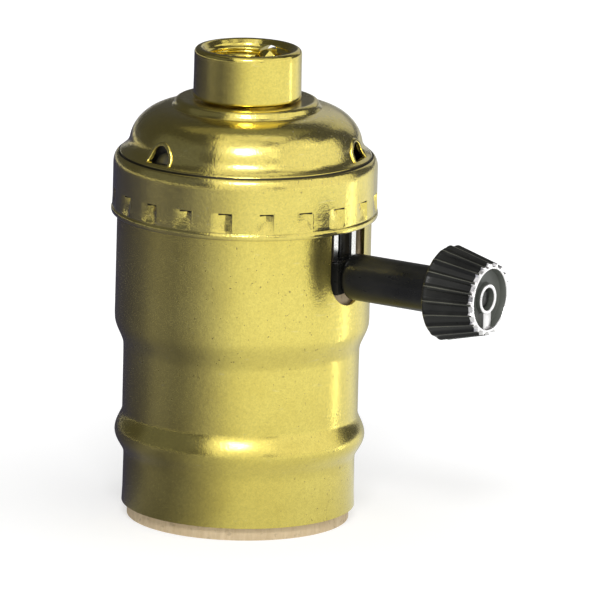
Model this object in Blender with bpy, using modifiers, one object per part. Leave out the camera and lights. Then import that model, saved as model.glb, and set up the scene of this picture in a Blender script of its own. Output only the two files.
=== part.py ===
"""Turn knob lamp socket: a brass shell and push-fit cap around a rotary switch and a medium screw shell.

Metres, +Z up, standing on its open end. The origin is on the socket's axis, at the underside
of the centre contact, and the knob turns about a line along +X.
"""
import math

import bmesh
import bpy
from mathutils import Matrix, Vector

MM = 0.001

# Gaps: between pieces that touch, around what turns, and around the screw shell
SEAT_GAP = 0.30 * MM
RUN_GAP = 0.08 * MM
SHELL_AIR = 0.50 * MM

# Lamp thread: seven turns to the inch, with rounded crests
THREAD_RADIUS = 13.30 * MM
THREAD_DEPTH = 0.85 * MM
THREAD_PITCH = 25.4 / 7 * MM
THREAD_RISE = 3.0 * MM
THREAD_LIP = 4.2 * MM
SCREW_SHELL_WALL = 0.35 * MM
SCREW_SHELL_RECESS = 3.2 * MM
FLOOR_HOLE_CLEAR = 0.7 * MM
LAMP_DEPTH = 27.0 * MM

# Paper liner and outer shell
LINER_WALL = 0.70 * MM
LINER_PROUD = 1.8 * MM
SHELL_WALL = 0.40 * MM
MOUTH_FLARE = 0.05 * MM
WAIST_STEP = 0.22 * MM
SHELL_FLARE = 1.40 * MM
TAPER_HEIGHT = 3.8 * MM
BEAD_ABOVE_MOUTH = 9.7 * MM
BEAD_HALF_HEIGHT = 2.9 * MM
BEAD_PROUD = 1.05 * MM
SNAP_DEPTH = 0.42 * MM

# Cap: skirt, shoulder, dome and collar
CAP_WALL = 0.35 * MM
SKIRT_HEIGHT = 7.45 * MM
SKIRT_BAND = 0.14 * MM
BAND_TOP = 3.3 * MM
HEM_CURL = 0.12 * MM
SHOULDER_ROUND = 1.1 * MM
DOME_INSET = 2.0 * MM
DOME_WIDTH = 5.75 * MM
DOME_HEIGHT = 5.3 * MM
GROOVE_HEIGHT = 1.75 * MM
GROOVE_DEPTH = 0.62 * MM
COLLAR_HEIGHT = 1.1 * MM
COLLAR_STEP = 0.75 * MM

# Dents that hold the skirt on the shell, and half-moon tabs lanced in the dome
DENT_COUNT = 20
DENT_PHASE = math.radians(5.8)
DENT_WIDTH = 2.0 * MM
DENT_DEPTH = 0.55 * MM
DENT_TOP = 3.95 * MM
DENT_SQUARE = 1.6 * MM
DENT_BLEND = 1.0 * MM
LANCE_ANGLES = [math.radians(13.0 + 120.0 * k) for k in range(3)]
LANCE_WIDTH = 4.6 * MM
LANCE_HEIGHT = 2.7 * MM
LANCE_RISE = 0.55 * MM
LANCE_LEAN = math.radians(24.0)
LANCE_CUT = 0.16 * MM

# Threaded hub, plain here where its fine thread is cut, and its set screw
HUB_RADIUS = 7.1 * MM
HUB_HEIGHT = 6.35 * MM
HUB_WALL = 2.6 * MM
SPIGOT_WALL = 1.1 * MM
HUB_LIP = 0.6 * MM
HUB_FUNNEL = 1.6 * MM
HUB_CLINCH = 1.2 * MM
HUB_CLINCH_HEIGHT = 0.7 * MM
SET_SCREW_RADIUS = 1.5 * MM
SET_SCREW_DROP = 2.3 * MM
SET_SCREW_REACH = 0.8 * MM

# Switch body, its chamber and its cover
CONTACT_DROP = 2.7 * MM
BASE_WALL = 1.2 * MM
BODY_ABOVE_KEY = 8.4 * MM
BODY_SKIRT_DEPTH = 2.1 * MM
CHAMBER_BEHIND_RIVET = 2.0 * MM
CHAMBER_FRONT_INSET = 8.75 * MM
CHAMBER_HALF_WIDTH = 5.0 * MM
COVER_THICKNESS = 1.8 * MM
BOSS_PROUD = 0.15 * MM
BOSS_HALF_WIDTH = 3.2 * MM
BOSS_ABOVE_KEY = 2.1 * MM
BOSS_BELOW_KEY = 2.1 * MM
RIB_WIDTH = 0.6 * MM
RIB_DEPTH = 0.35 * MM
FRONT_FLAT_INSET = 0.55 * MM

# Key: rotor, shaft, stalk and knob, as distances out from the socket's axis
ROTOR_SWEEP = 3.2 * MM
RATCHET_FLAT = 2.1 * MM
RATCHET_LENGTH = 3.0 * MM
DRUM_LENGTH = 4.2 * MM
DRUM_RADIUS = 2.55 * MM
JOURNAL_RADIUS = 1.5 * MM
JOURNAL_DEPTH = 2.1 * MM
SHAFT_RADIUS = 1.9 * MM
SHAFT_NECK = 1.35 * MM
SHAFT_SQUARE = 1.05 * MM
SHAFT_IN_STALK = 9.5 * MM
STALK_RADIUS = 3.1 * MM
STALK_LENGTH = 15.2 * MM
STALK_ROUND = 0.5 * MM
SPIGOT_RADIUS = 2.0 * MM
SPIGOT_LENGTH = 4.0 * MM
TIP_RADIUS = 1.2 * MM
TIP_LENGTH = 1.3 * MM

KNOB_BACK_RADIUS = 6.35 * MM
KNOB_FRONT_RADIUS = 4.8 * MM
KNOB_LENGTH = 7.0 * MM
KNOB_ROUND = 0.6 * MM
KNOB_SOCKET_DEPTH = 1.0 * MM
FLUTE_COUNT = 20
FLUTE_DEPTH = 0.42 * MM
RIDGE_HALF_ANGLE = math.radians(3.6)
RIM_WIDTH = 0.75 * MM
DISH_DEPTH = 1.0 * MM
BOSS_RING_RADIUS = 2.0 * MM
BOSS_RING_RECESS = 0.3 * MM
POINTER_WIDTH = 1.85 * MM

# Retaining fork, leaves, terminals and rivets
SHEET = 0.40 * MM
FORK_LEG = 1.0 * MM
FORK_INSET = 1.10 * MM
FORK_TAB = 3.4 * MM
FORK_BRIDGE = 2.4 * MM
LEAF_WIDTH = 4.4 * MM
PAD_HALF_LENGTH = 2.4 * MM
FOOT_REACH = 2.1 * MM
RIVET_RADIUS = 1.1 * MM
RIVET_HEAD = 1.9 * MM
RIVET_HEAD_HEIGHT = 0.8 * MM
RIVET_INSET = 3.1 * MM
RIVET_ANGLE = math.radians(40.8)
SMALL_RIVET_RADIUS = 0.9 * MM
SMALL_RIVET_HEAD = 1.6 * MM
SMALL_RIVET_HEIGHT = 0.55 * MM
SMALL_RIVET_ROOM = 0.9 * MM
TERMINAL_INSET = 3.25 * MM
TERMINAL_WIDTH = 6.0 * MM
TERMINAL_THICKNESS = 0.5 * MM
TERMINAL_HEIGHT = 5.7 * MM
STRAP_WIDTH = 3.6 * MM
BLADE_WIDTH = 2.0 * MM
BLADE_THICKNESS = 0.8 * MM
SCREW_HEAD_RADIUS = 2.7 * MM
SCREW_HEAD_HEIGHT = 1.5 * MM
SCREW_STEM_RADIUS = 1.35 * MM
SCREW_STEM_LENGTH = 3.2 * MM
SLOT_WIDTH = 0.7 * MM
SLOT_DEPTH = 0.6 * MM

# Key slot in the shell, and the notch in the liner behind it
KEY_SLOT_HALF_WIDTH = 4.0 * MM
NOTCH_CORNER = 0.7 * MM
INSULATOR_WALL = 0.5 * MM
WIRE_HOLE_RADIUS = 4.8 * MM

# Facets around each turned piece
CAP_STEPS = DENT_COUNT * 2
SHELL_STEPS = 32
THREAD_STEPS = 20
LINER_STEPS = 24
HUB_STEPS = 20
INSULATOR_STEPS = 20
BODY_STEPS = 28
KEY_STEPS = 16
SMALL_STEPS = 14
MICRO_STEPS = 10

# Radii that follow, from the lamp thread outwards
SCREW_SHELL_RADIUS = THREAD_RADIUS + SCREW_SHELL_WALL
LINER_RADIUS = SCREW_SHELL_RADIUS + SHELL_AIR + LINER_WALL
WAIST_RADIUS = LINER_RADIUS + SEAT_GAP + SHELL_WALL
LOWER_RADIUS = WAIST_RADIUS + WAIST_STEP
UPPER_RADIUS = WAIST_RADIUS + SHELL_FLARE
LINER_UPPER_RADIUS = UPPER_RADIUS - SHELL_WALL - SEAT_GAP
BODY_RADIUS = LINER_UPPER_RADIUS - LINER_WALL - SEAT_GAP
BODY_LOWER_RADIUS = LINER_RADIUS - LINER_WALL - SEAT_GAP
BODY_BORE = SCREW_SHELL_RADIUS + SEAT_GAP
RIVET_CIRCLE = SCREW_SHELL_RADIUS - RIVET_INSET
RIVET_BACK = RIVET_CIRCLE * math.cos(RIVET_ANGLE)
RIVET_SIDE = RIVET_CIRCLE * math.sin(RIVET_ANGLE)
TERMINAL_OUT = BODY_RADIUS - TERMINAL_INSET
SKIRT_RADIUS = UPPER_RADIUS + SEAT_GAP + CAP_WALL
DOME_RADIUS = SKIRT_RADIUS - DOME_INSET
HUB_BORE = HUB_RADIUS - HUB_WALL
HUB_SPIGOT = HUB_BORE + SPIGOT_WALL
HUB_HOLE_RADIUS = HUB_SPIGOT + SEAT_GAP
SET_SCREW_TIP = HUB_BORE - SET_SCREW_REACH

# Heights that follow, from the centre contact up
RIM_Z = -LAMP_DEPTH
MOUTH_Z = RIM_Z + LINER_PROUD
BEAD_Z = MOUTH_Z + BEAD_ABOVE_MOUTH
BASE_Z = CONTACT_DROP
CHAMBER_Z = BASE_Z + BASE_WALL
LEAF_Z = CHAMBER_Z + SEAT_GAP
KEY_Z = LEAF_Z + SHEET + SEAT_GAP + ROTOR_SWEEP
BODY_TOP_Z = KEY_Z + BODY_ABOVE_KEY
COVER_Z = BODY_TOP_Z + SEAT_GAP
COVER_TOP_Z = COVER_Z + COVER_THICKNESS
SHELL_TOP_Z = COVER_TOP_Z + 2.45 * MM
SHOULDER_Z = SHELL_TOP_Z + SEAT_GAP + CAP_WALL
HEM_Z = SHOULDER_Z - SKIRT_HEIGHT
DENT_TOP_Z = HEM_Z + DENT_TOP
DOME_Z = SHOULDER_Z + GROOVE_HEIGHT
COLLAR_Z = DOME_Z + DOME_HEIGHT + COLLAR_HEIGHT
HUB_Z = COLLAR_Z + SEAT_GAP
HUB_TOP_Z = HUB_Z + HUB_HEIGHT
LINER_TOP_Z = HEM_Z
SCREW_SHELL_TOP_Z = BASE_Z - SEAT_GAP
SCREW_SHELL_MOUTH_Z = RIM_Z + SCREW_SHELL_RECESS
THREAD_TOP_Z = SCREW_SHELL_TOP_Z - THREAD_RISE
THREAD_BOTTOM_Z = SCREW_SHELL_MOUTH_Z + THREAD_LIP
THREAD_LENGTH = THREAD_TOP_Z - THREAD_BOTTOM_Z

# Distances along the key that follow
BOSS_FACE = UPPER_RADIUS + BOSS_PROUD
CHAMBER_FRONT = BODY_RADIUS - CHAMBER_FRONT_INSET
SMALL_RIVET_BACK = BLADE_WIDTH * 1.5 + SMALL_RIVET_HEAD + SMALL_RIVET_ROOM
CHAMBER_BACK = SMALL_RIVET_BACK + CHAMBER_BEHIND_RIVET
CONTACT_REACH = SMALL_RIVET_BACK + FOOT_REACH
FLOOR_HOLE_RADIUS = CONTACT_REACH + FLOOR_HOLE_CLEAR
SHAFT_START = 0.6 * MM
FORK_FACE = BOSS_FACE - FORK_INSET
STALK_START = BOSS_FACE + SEAT_GAP
KNOB_BACK = STALK_START + STALK_LENGTH - KNOB_SOCKET_DEPTH + SEAT_GAP
KNOB_FACE = KNOB_BACK + KNOB_LENGTH
STALK_SHOULDER = STALK_START + STALK_LENGTH
SPIGOT_END = STALK_SHOULDER + SPIGOT_LENGTH


def smooth(t):
    """Slow start, slow end."""
    return t * t * (3.0 - 2.0 * t)


def arc(centre, radii, start, end, count):
    """Points along a round or oval arc, angles in degrees."""
    points = []
    for k in range(count + 1):
        angle = math.radians(start + (end - start) * k / count)
        points.append((centre[0] + radii[0] * math.cos(angle), centre[1] + radii[1] * math.sin(angle)))
    return points


def taper(upper, lower, count, bottom=-TAPER_HEIGHT):
    """The S-shaped run from the wide radius down to the narrow one."""
    points = []
    for k in range(count + 1):
        z = bottom * k / count
        points.append((upper + (lower - upper) * smooth(-z / TAPER_HEIGHT), z))
    return points


def new_collection(name):
    collection = bpy.data.collections.new(name)
    bpy.context.scene.collection.children.link(collection)
    return collection


def new_material(name, colour, roughness, metallic):
    material = bpy.data.materials.new(name)
    material.use_nodes = True
    shader = material.node_tree.nodes["Principled BSDF"]
    shader.inputs["Base Color"].default_value = (*colour, 1.0)
    shader.inputs["Roughness"].default_value = roughness
    shader.inputs["Metallic"].default_value = metallic
    material.diffuse_color = (*colour, 1.0)
    return material


for old in list(bpy.data.objects):
    bpy.data.objects.remove(old, do_unlink=True)

PARTS = new_collection("turn_knob_lamp_socket")
CUTTERS = new_collection("cutters")

BRASS = new_material("brass", (0.80, 0.64, 0.20), 0.28, 1.0)
NICKEL = new_material("nickel", (0.78, 0.77, 0.75), 0.25, 1.0)
ALUMINIUM = new_material("aluminium", (0.82, 0.82, 0.83), 0.35, 1.0)
BRONZE = new_material("bronze", (0.78, 0.50, 0.26), 0.32, 1.0)
PHENOLIC = new_material("black_phenolic", (0.022, 0.022, 0.020), 0.42, 0.0)
PAPER = new_material("liner_paper", (0.62, 0.50, 0.33), 0.85, 0.0)
FIBRE = new_material("grey_fibre", (0.16, 0.15, 0.14), 0.75, 0.0)


def add_object(name, mesh, material):
    """A part when it has a material, and otherwise a cutter."""
    obj = bpy.data.objects.new(name, mesh)
    if material is None:
        CUTTERS.objects.link(obj)
        obj.hide_render = True
        obj.display_type = "WIRE"
    else:
        PARTS.objects.link(obj)
        mesh.materials.append(material)
    return obj


def shade(obj, degrees=35.0):
    obj.data.shade_smooth()
    obj.data.set_sharp_from_angle(angle=math.radians(degrees))


def bake(obj):
    """Fix an object's modifiers into its mesh."""
    bpy.context.view_layer.update()
    shape = obj.evaluated_get(bpy.context.evaluated_depsgraph_get())
    mesh = bpy.data.meshes.new_from_object(shape)
    obj.modifiers.clear()
    obj.data = mesh


def lathe(name, profile, steps, material=None, closed=True):
    """Turn a profile of (radius, height) about Z; its outer side runs from top to bottom."""
    mesh = bpy.data.meshes.new(name)
    edges = [(k, k + 1) for k in range(len(profile) - 1)]
    if closed and (profile[0][0] > 0.0 or profile[-1][0] > 0.0):
        edges.append((len(profile) - 1, 0))
    mesh.from_pydata([(r, 0.0, z) for r, z in profile], edges, [])
    obj = add_object(name, mesh, material)
    screw = obj.modifiers.new("Turn", "SCREW")
    screw.axis = "Z"
    screw.steps = steps
    screw.render_steps = steps
    screw.use_merge_vertices = True
    screw.merge_threshold = 0.00001
    bake(obj)
    shade(obj)
    return obj


def thicken(obj, wall):
    """Give an open sheet its wall, on the inside."""
    solidify = obj.modifiers.new("Wall", "SOLIDIFY")
    solidify.thickness = wall
    solidify.offset = -1.0
    solidify.use_even_offset = True
    return obj


def combine(obj, other, operation):
    boolean = obj.modifiers.new(operation.title(), "BOOLEAN")
    boolean.operation = operation
    boolean.solver = "EXACT"
    boolean.object = other
    return obj


def cut(obj, *others):
    for other in others:
        combine(obj, other, "DIFFERENCE")
    return obj


def join(obj, *others):
    for other in others:
        combine(obj, other, "UNION")
    return obj


def block(name, x, y, z, material=None):
    """A box from its low and high x, y and z."""
    mesh = bpy.data.meshes.new(name)
    shape = bmesh.new()
    bmesh.ops.create_cube(shape, size=1.0)
    size = Vector((x[1] - x[0], y[1] - y[0], z[1] - z[0]))
    centre = Vector((x[0] + x[1], y[0] + y[1], z[0] + z[1])) / 2.0
    bmesh.ops.transform(shape, matrix=Matrix.Translation(centre) @ Matrix.Diagonal((*size, 1.0)), verts=shape.verts)
    shape.to_mesh(mesh)
    shape.free()
    return add_object(name, mesh, material)


def rod(name, axis, start, end, radius, steps, material=None):
    """A cylinder from start to end along x, y or z, through a point on the other two axes."""
    mesh = bpy.data.meshes.new(name)
    shape = bmesh.new()
    bmesh.ops.create_cone(
        shape, cap_ends=True, segments=steps, radius1=radius, radius2=radius, depth=(end - start).length
    )
    turn = Vector((0.0, 0.0, 1.0)).rotation_difference(Vector(axis)).to_matrix().to_4x4()
    bmesh.ops.transform(shape, matrix=Matrix.Translation((start + end) / 2.0) @ turn, verts=shape.verts)
    shape.to_mesh(mesh)
    shape.free()
    return add_object(name, mesh, material)


def plate(name, outline, thickness, matrix, material=None):
    """A flat outline of (x, y) points given a thickness, placed by a matrix."""
    curve = bpy.data.curves.new(name, "CURVE")
    curve.dimensions = "2D"
    curve.fill_mode = "BOTH"
    curve.extrude = thickness / 2.0
    spline = curve.splines.new("POLY")
    spline.points.add(len(outline) - 1)
    for point, (x, y) in zip(spline.points, outline):
        point.co = (x, y, 0.0, 1.0)
    spline.use_cyclic_u = True
    draft = bpy.data.objects.new(name + "_outline", curve)
    CUTTERS.objects.link(draft)
    bpy.context.view_layer.update()
    mesh = bpy.data.meshes.new_from_object(draft.evaluated_get(bpy.context.evaluated_depsgraph_get()))
    bpy.data.objects.remove(draft, do_unlink=True)
    shape = bmesh.new()
    shape.from_mesh(mesh)
    bmesh.ops.remove_doubles(shape, verts=shape.verts, dist=0.000001)
    bmesh.ops.transform(shape, matrix=matrix, verts=shape.verts)
    shape.to_mesh(mesh)
    shape.free()
    mesh.name = name
    return add_object(name, mesh, material)


def strip(name, centre_line, thickness, width, matrix, material=None):
    """A folded strip: its side view is a line of (x, y) points with a thickness."""
    left, right = [], []
    for k, (x, y) in enumerate(centre_line):
        before = Vector(centre_line[max(k - 1, 0)])
        after = Vector(centre_line[min(k + 1, len(centre_line) - 1)])
        here = Vector((x, y))
        directions = [d.normalized() for d in (here - before, after - here) if d.length > 0.0]
        along = sum(directions, Vector((0.0, 0.0))).normalized()
        reach = thickness / 2.0 / max(along.dot(directions[0]), 0.5)
        side = Vector((-along.y, along.x)) * reach
        left.append(tuple(here + side))
        right.append(tuple(here - side))
    return plate(name, left + right[::-1], width, matrix, material)


def merge(name, pieces, material=None):
    """One mesh from several cutters that don't touch each other."""
    mesh = bpy.data.meshes.new(name)
    shape = bmesh.new()
    for piece in pieces:
        shape.from_mesh(piece.data)
        bpy.data.objects.remove(piece, do_unlink=True)
    shape.to_mesh(mesh)
    shape.free()
    return add_object(name, mesh, material)


# Planes that flat outlines are placed in
SIDE_VIEW = Matrix.Rotation(math.pi / 2.0, 4, "X")
FRONT_VIEW = Matrix(((0, 0, 1, 0), (1, 0, 0, 0), (0, 1, 0, 0), (0, 0, 0, 1)))


def around(angle):
    return Matrix.Rotation(angle, 4, "Z")


def make_cap():
    """Drawn brass cap: hem, dented skirt, shoulder, dome with lanced tabs, and collar."""
    dome_centre = (DOME_RADIUS - DOME_WIDTH, DOME_Z)
    collar_radius = dome_centre[0]
    band_z = HEM_Z + BAND_TOP
    corner = SKIRT_RADIUS - SHOULDER_ROUND
    profile = [(HUB_HOLE_RADIUS, COLLAR_Z), (collar_radius - COLLAR_STEP, COLLAR_Z)]
    profile += arc((collar_radius - COLLAR_STEP, COLLAR_Z - COLLAR_STEP), (COLLAR_STEP * 0.8, COLLAR_STEP), 50, 0, 1)
    profile += arc(dome_centre, (DOME_WIDTH, DOME_HEIGHT), 84, 0, 5)
    profile += [
        (DOME_RADIUS - GROOVE_DEPTH * 0.4, SHOULDER_Z + GROOVE_HEIGHT * 0.4),
        (DOME_RADIUS - GROOVE_DEPTH, SHOULDER_Z),
    ]
    profile += arc((corner, SHOULDER_Z - SHOULDER_ROUND), (SHOULDER_ROUND, SHOULDER_ROUND), 90, 0, 2)
    profile += [
        (SKIRT_RADIUS, band_z + SKIRT_BAND),
        (SKIRT_RADIUS + SKIRT_BAND, band_z - SKIRT_BAND * 2),
        (SKIRT_RADIUS + SKIRT_BAND, HEM_Z + 0.7 * MM),
        (SKIRT_RADIUS - HEM_CURL, HEM_Z),
    ]
    cap = lathe("cap", profile, CAP_STEPS, BRASS, closed=False)
    cap.data.transform(around(DENT_PHASE + math.pi / CAP_STEPS))
    thicken(cap, CAP_WALL)

    # Each dent is deepest under a sheared top edge and runs out below
    face = SKIRT_RADIUS + SKIRT_BAND
    square_z = DENT_TOP_Z - DENT_SQUARE
    blend_z = square_z - DENT_BLEND
    inside = face - CAP_WALL
    hollow = [
        (face + DENT_DEPTH, DENT_TOP_Z),
        (face - DENT_DEPTH, DENT_TOP_Z),
        (face - DENT_DEPTH, square_z),
        (face + DENT_DEPTH, blend_z - DENT_BLEND),
    ]
    swell = [
        (inside + CAP_WALL / 2, DENT_TOP_Z + CAP_WALL),
        (inside - DENT_DEPTH, DENT_TOP_Z + CAP_WALL),
        (inside - DENT_DEPTH, square_z),
        (inside + CAP_WALL / 2, blend_z - DENT_BLEND / 4),
    ]
    hollows, swells = [], []
    for k in range(DENT_COUNT):
        turn = around(DENT_PHASE + 2.0 * math.pi * k / DENT_COUNT)
        hollows.append(plate("dent_hollow", hollow, DENT_WIDTH, turn @ SIDE_VIEW))
        swells.append(plate("dent_swell", swell, DENT_WIDTH + CAP_WALL, turn @ SIDE_VIEW))
    join(cap, merge("dent_swells", swells))
    cut(cap, merge("dent_hollows", hollows))

    # Each half-moon tab stays joined along its flat lower edge and leans inwards
    lance_z = SHOULDER_Z + LANCE_RISE
    wall_face = DOME_RADIUS
    moon = arc((0.0, 0.0), (LANCE_WIDTH / 2.0, LANCE_HEIGHT), 0, 180, 7)
    tongue = arc((0.0, 0.0), (LANCE_WIDTH / 2.0 - LANCE_CUT, LANCE_HEIGHT - LANCE_CUT), 0, 180, 7)
    hinge = Matrix.Translation((wall_face - CAP_WALL * 1.5, 0.0, lance_z - CAP_WALL))
    windows, tongues = [], []
    for angle in LANCE_ANGLES:
        frame = around(angle) @ Matrix.Translation((wall_face, 0.0, lance_z)) @ FRONT_VIEW
        windows.append(plate("lance_window", moon, CAP_WALL * 6.0, frame))
        lean = around(angle) @ hinge @ Matrix.Rotation(-LANCE_LEAN, 4, "Y") @ FRONT_VIEW
        tongues.append(plate("lance_tongue", tongue, CAP_WALL, lean))
    cut(cap, merge("lance_windows", windows))
    join(cap, merge("lance_tongues", tongues))
    return cap


def make_hub():
    """Turned hub, clinched through the cap's collar, with a funnel above the bore for the pipe."""
    spigot = HUB_SPIGOT
    clinch_z = COLLAR_Z - CAP_WALL - SEAT_GAP
    profile = [
        (HUB_BORE + HUB_FUNNEL, HUB_TOP_Z),
        *arc((HUB_RADIUS - HUB_LIP, HUB_TOP_Z - HUB_LIP), (HUB_LIP, HUB_LIP), 90, 0, 3),
        (HUB_RADIUS, HUB_Z),
        (spigot, HUB_Z),
        (spigot, clinch_z),
        (spigot + HUB_CLINCH, clinch_z),
        (spigot + HUB_CLINCH, clinch_z - HUB_CLINCH_HEIGHT),
        (HUB_BORE, clinch_z - HUB_CLINCH_HEIGHT),
        (HUB_BORE, HUB_TOP_Z - HUB_FUNNEL),
    ]
    hub = lathe("threaded_hub", profile, HUB_STEPS, BRASS)
    screw_z = HUB_TOP_Z - SET_SCREW_DROP
    start = Vector((0.0, SET_SCREW_TIP - SEAT_GAP, screw_z))
    end = Vector((0.0, HUB_RADIUS + 1.0 * MM, screw_z))
    cut(hub, rod("set_screw_hole", (0, 1, 0), start, end, SET_SCREW_RADIUS + SEAT_GAP, MICRO_STEPS))
    return hub


def make_set_screw():
    """Headless slotted screw, flush in the hub's side, its point just inside the bore."""
    length = HUB_RADIUS - SEAT_GAP - SET_SCREW_TIP
    point = SET_SCREW_RADIUS * 0.5
    profile = [
        (0.0, length),
        (SET_SCREW_RADIUS, length),
        (SET_SCREW_RADIUS, point),
        (point, 0.0),
        (0.0, 0.0),
    ]
    screw = lathe("hub_set_screw", profile, MICRO_STEPS, BRASS)
    slot_z = (length - SLOT_DEPTH, length + 1.0 * MM)
    half = SLOT_WIDTH / 2.0
    groove = block("set_screw_slot", (-SET_SCREW_RADIUS * 2, SET_SCREW_RADIUS * 2), (-half, half), slot_z)
    cut(screw, groove)
    place = Matrix.Translation((0.0, SET_SCREW_TIP, HUB_TOP_Z - SET_SCREW_DROP)) @ Matrix.Rotation(-math.pi / 2, 4, "X")
    screw.matrix_world = place
    groove.matrix_world = place
    return screw


def make_insulator():
    """Fibre cup under the dome, with a hole for the wires."""
    clearance = CAP_WALL * 2.0 + math.sin(LANCE_LEAN) * LANCE_HEIGHT + SEAT_GAP
    top_z = COLLAR_Z - CAP_WALL - HUB_CLINCH_HEIGHT - SEAT_GAP * 2
    radius = DOME_RADIUS - clearance
    centre = (DOME_RADIUS - DOME_WIDTH, DOME_Z)
    radii = (radius - centre[0], top_z - DOME_Z)
    profile = [(WIRE_HOLE_RADIUS, top_z)]
    profile += arc(centre, radii, 90, 0, 3)
    foot = BODY_RADIUS - SEAT_GAP
    flare_z = SHOULDER_Z - (foot - radius) - CAP_WALL
    profile += [(radius, SHOULDER_Z), (foot, flare_z), (foot, COVER_TOP_Z + SEAT_GAP)]
    return thicken(lathe("cap_insulator", profile, INSULATOR_STEPS, FIBRE, closed=False), INSULATOR_WALL)


def make_outer_shell():
    """Spun brass shell: snap groove, taper, bead and plain mouth, slotted for the key."""
    snap = UPPER_RADIUS - SNAP_DEPTH
    snap_low = DENT_TOP_Z - DENT_SQUARE - SEAT_GAP
    snap_high = DENT_TOP_Z + CAP_WALL + SEAT_GAP
    profile = [
        (UPPER_RADIUS, SHELL_TOP_Z),
        (UPPER_RADIUS, snap_high + SNAP_DEPTH * 1.5),
        (snap, snap_high),
        (snap, snap_low),
        (UPPER_RADIUS, snap_low - SNAP_DEPTH * 1.5),
    ]
    profile += taper(UPPER_RADIUS, LOWER_RADIUS, 3)
    for k in range(7):
        t = 1.0 - k / 3.0
        base = LOWER_RADIUS if t > 0.0 else WAIST_RADIUS
        crown = (LOWER_RADIUS + WAIST_RADIUS) / 2.0 + BEAD_PROUD
        swell = math.cos(t * math.pi / 2.0) ** 1.5 if abs(t) < 1.0 else 0.0
        profile.append((base + (crown - base) * swell, BEAD_Z + t * BEAD_HALF_HEIGHT))
    profile.append((WAIST_RADIUS + MOUTH_FLARE, MOUTH_Z))
    shell = thicken(lathe("outer_shell", profile, SHELL_STEPS, BRASS, closed=False), SHELL_WALL)
    half = KEY_SLOT_HALF_WIDTH
    outline = [(half, SHELL_TOP_Z - KEY_Z + 1.0 * MM)] + arc((0, 0), (half, half), 0, -180, 10)
    outline.append((-half, SHELL_TOP_Z - KEY_Z + 1.0 * MM))
    slot = Matrix.Translation((UPPER_RADIUS, 0.0, KEY_Z)) @ FRONT_VIEW
    return cut(shell, plate("key_slot", outline, UPPER_RADIUS / 2.0, slot))


def make_liner():
    """Paper sleeve between the shell and the live screw shell; the socket stands on its rim."""
    profile = [(LINER_UPPER_RADIUS, LINER_TOP_Z)]
    profile += taper(LINER_UPPER_RADIUS, LINER_RADIUS, 4)
    profile.append((LINER_RADIUS, RIM_Z))
    liner = thicken(lathe("insulating_liner", profile, LINER_STEPS, PAPER, closed=False), LINER_WALL)
    half = KEY_SLOT_HALF_WIDTH
    over = LINER_TOP_Z - KEY_Z + 1.0 * MM
    bottom = -BOSS_BELOW_KEY - SEAT_GAP
    outline = [(half, over), (half, bottom + NOTCH_CORNER), (half - NOTCH_CORNER, bottom)]
    outline += [(-half + NOTCH_CORNER, bottom), (-half, bottom + NOTCH_CORNER), (-half, over)]
    notch = Matrix.Translation((LINER_UPPER_RADIUS, 0.0, KEY_Z)) @ FRONT_VIEW
    return cut(liner, plate("liner_notch", outline, LINER_UPPER_RADIUS / 2.0, notch))


def thread_wave(turn, height):
    """Depth of the rolled thread, 0 to 1, at an angle in turns and a height; it fades at both ends."""
    fade = 1.0
    for end in (THREAD_TOP_Z, THREAD_BOTTOM_Z):
        fade *= smooth(min(1.0, max(0.0, abs(height - end) / (THREAD_PITCH * 0.4))))
    return fade * (0.5 - 0.5 * math.cos(2.0 * math.pi * (height / THREAD_PITCH - turn)))


def make_screw_shell():
    """Rolled screw shell: a drawn cup with a holed floor, its wall rolled into a right-hand thread."""
    radius = SCREW_SHELL_RADIUS
    corner = 0.8 * MM
    profile = [(FLOOR_HOLE_RADIUS, SCREW_SHELL_TOP_Z)]
    profile += arc((radius - corner, SCREW_SHELL_TOP_Z - corner), (corner, corner), 90, 0, 2)
    rows = round(THREAD_LENGTH / THREAD_PITCH * 4)
    profile += [(radius, THREAD_TOP_Z - THREAD_LENGTH * k / rows) for k in range(rows + 1)]
    profile.append((radius + MOUTH_FLARE * 2, SCREW_SHELL_MOUTH_Z))
    shell = lathe("screw_shell", profile, THREAD_STEPS, ALUMINIUM, closed=False)
    for vertex in shell.data.vertices:
        x, y, z = vertex.co
        if THREAD_BOTTOM_Z < z < THREAD_TOP_Z:
            turn = math.atan2(y, x) / (2.0 * math.pi)
            scale = 1.0 - THREAD_DEPTH * thread_wave(turn, z) / math.hypot(x, y)
            vertex.co = (x * scale, y * scale, z)
    thicken(shell, SCREW_SHELL_WALL)
    for side in (-1, 1):
        start = Vector((-RIVET_BACK, side * RIVET_SIDE, SCREW_SHELL_TOP_Z - 1.0 * MM))
        end = Vector((-RIVET_BACK, side * RIVET_SIDE, SCREW_SHELL_TOP_Z + 1.0 * MM))
        cut(shell, rod("floor_rivet_hole", (0, 0, 1), start, end, RIVET_RADIUS + SEAT_GAP, MICRO_STEPS))
    return shell


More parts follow.
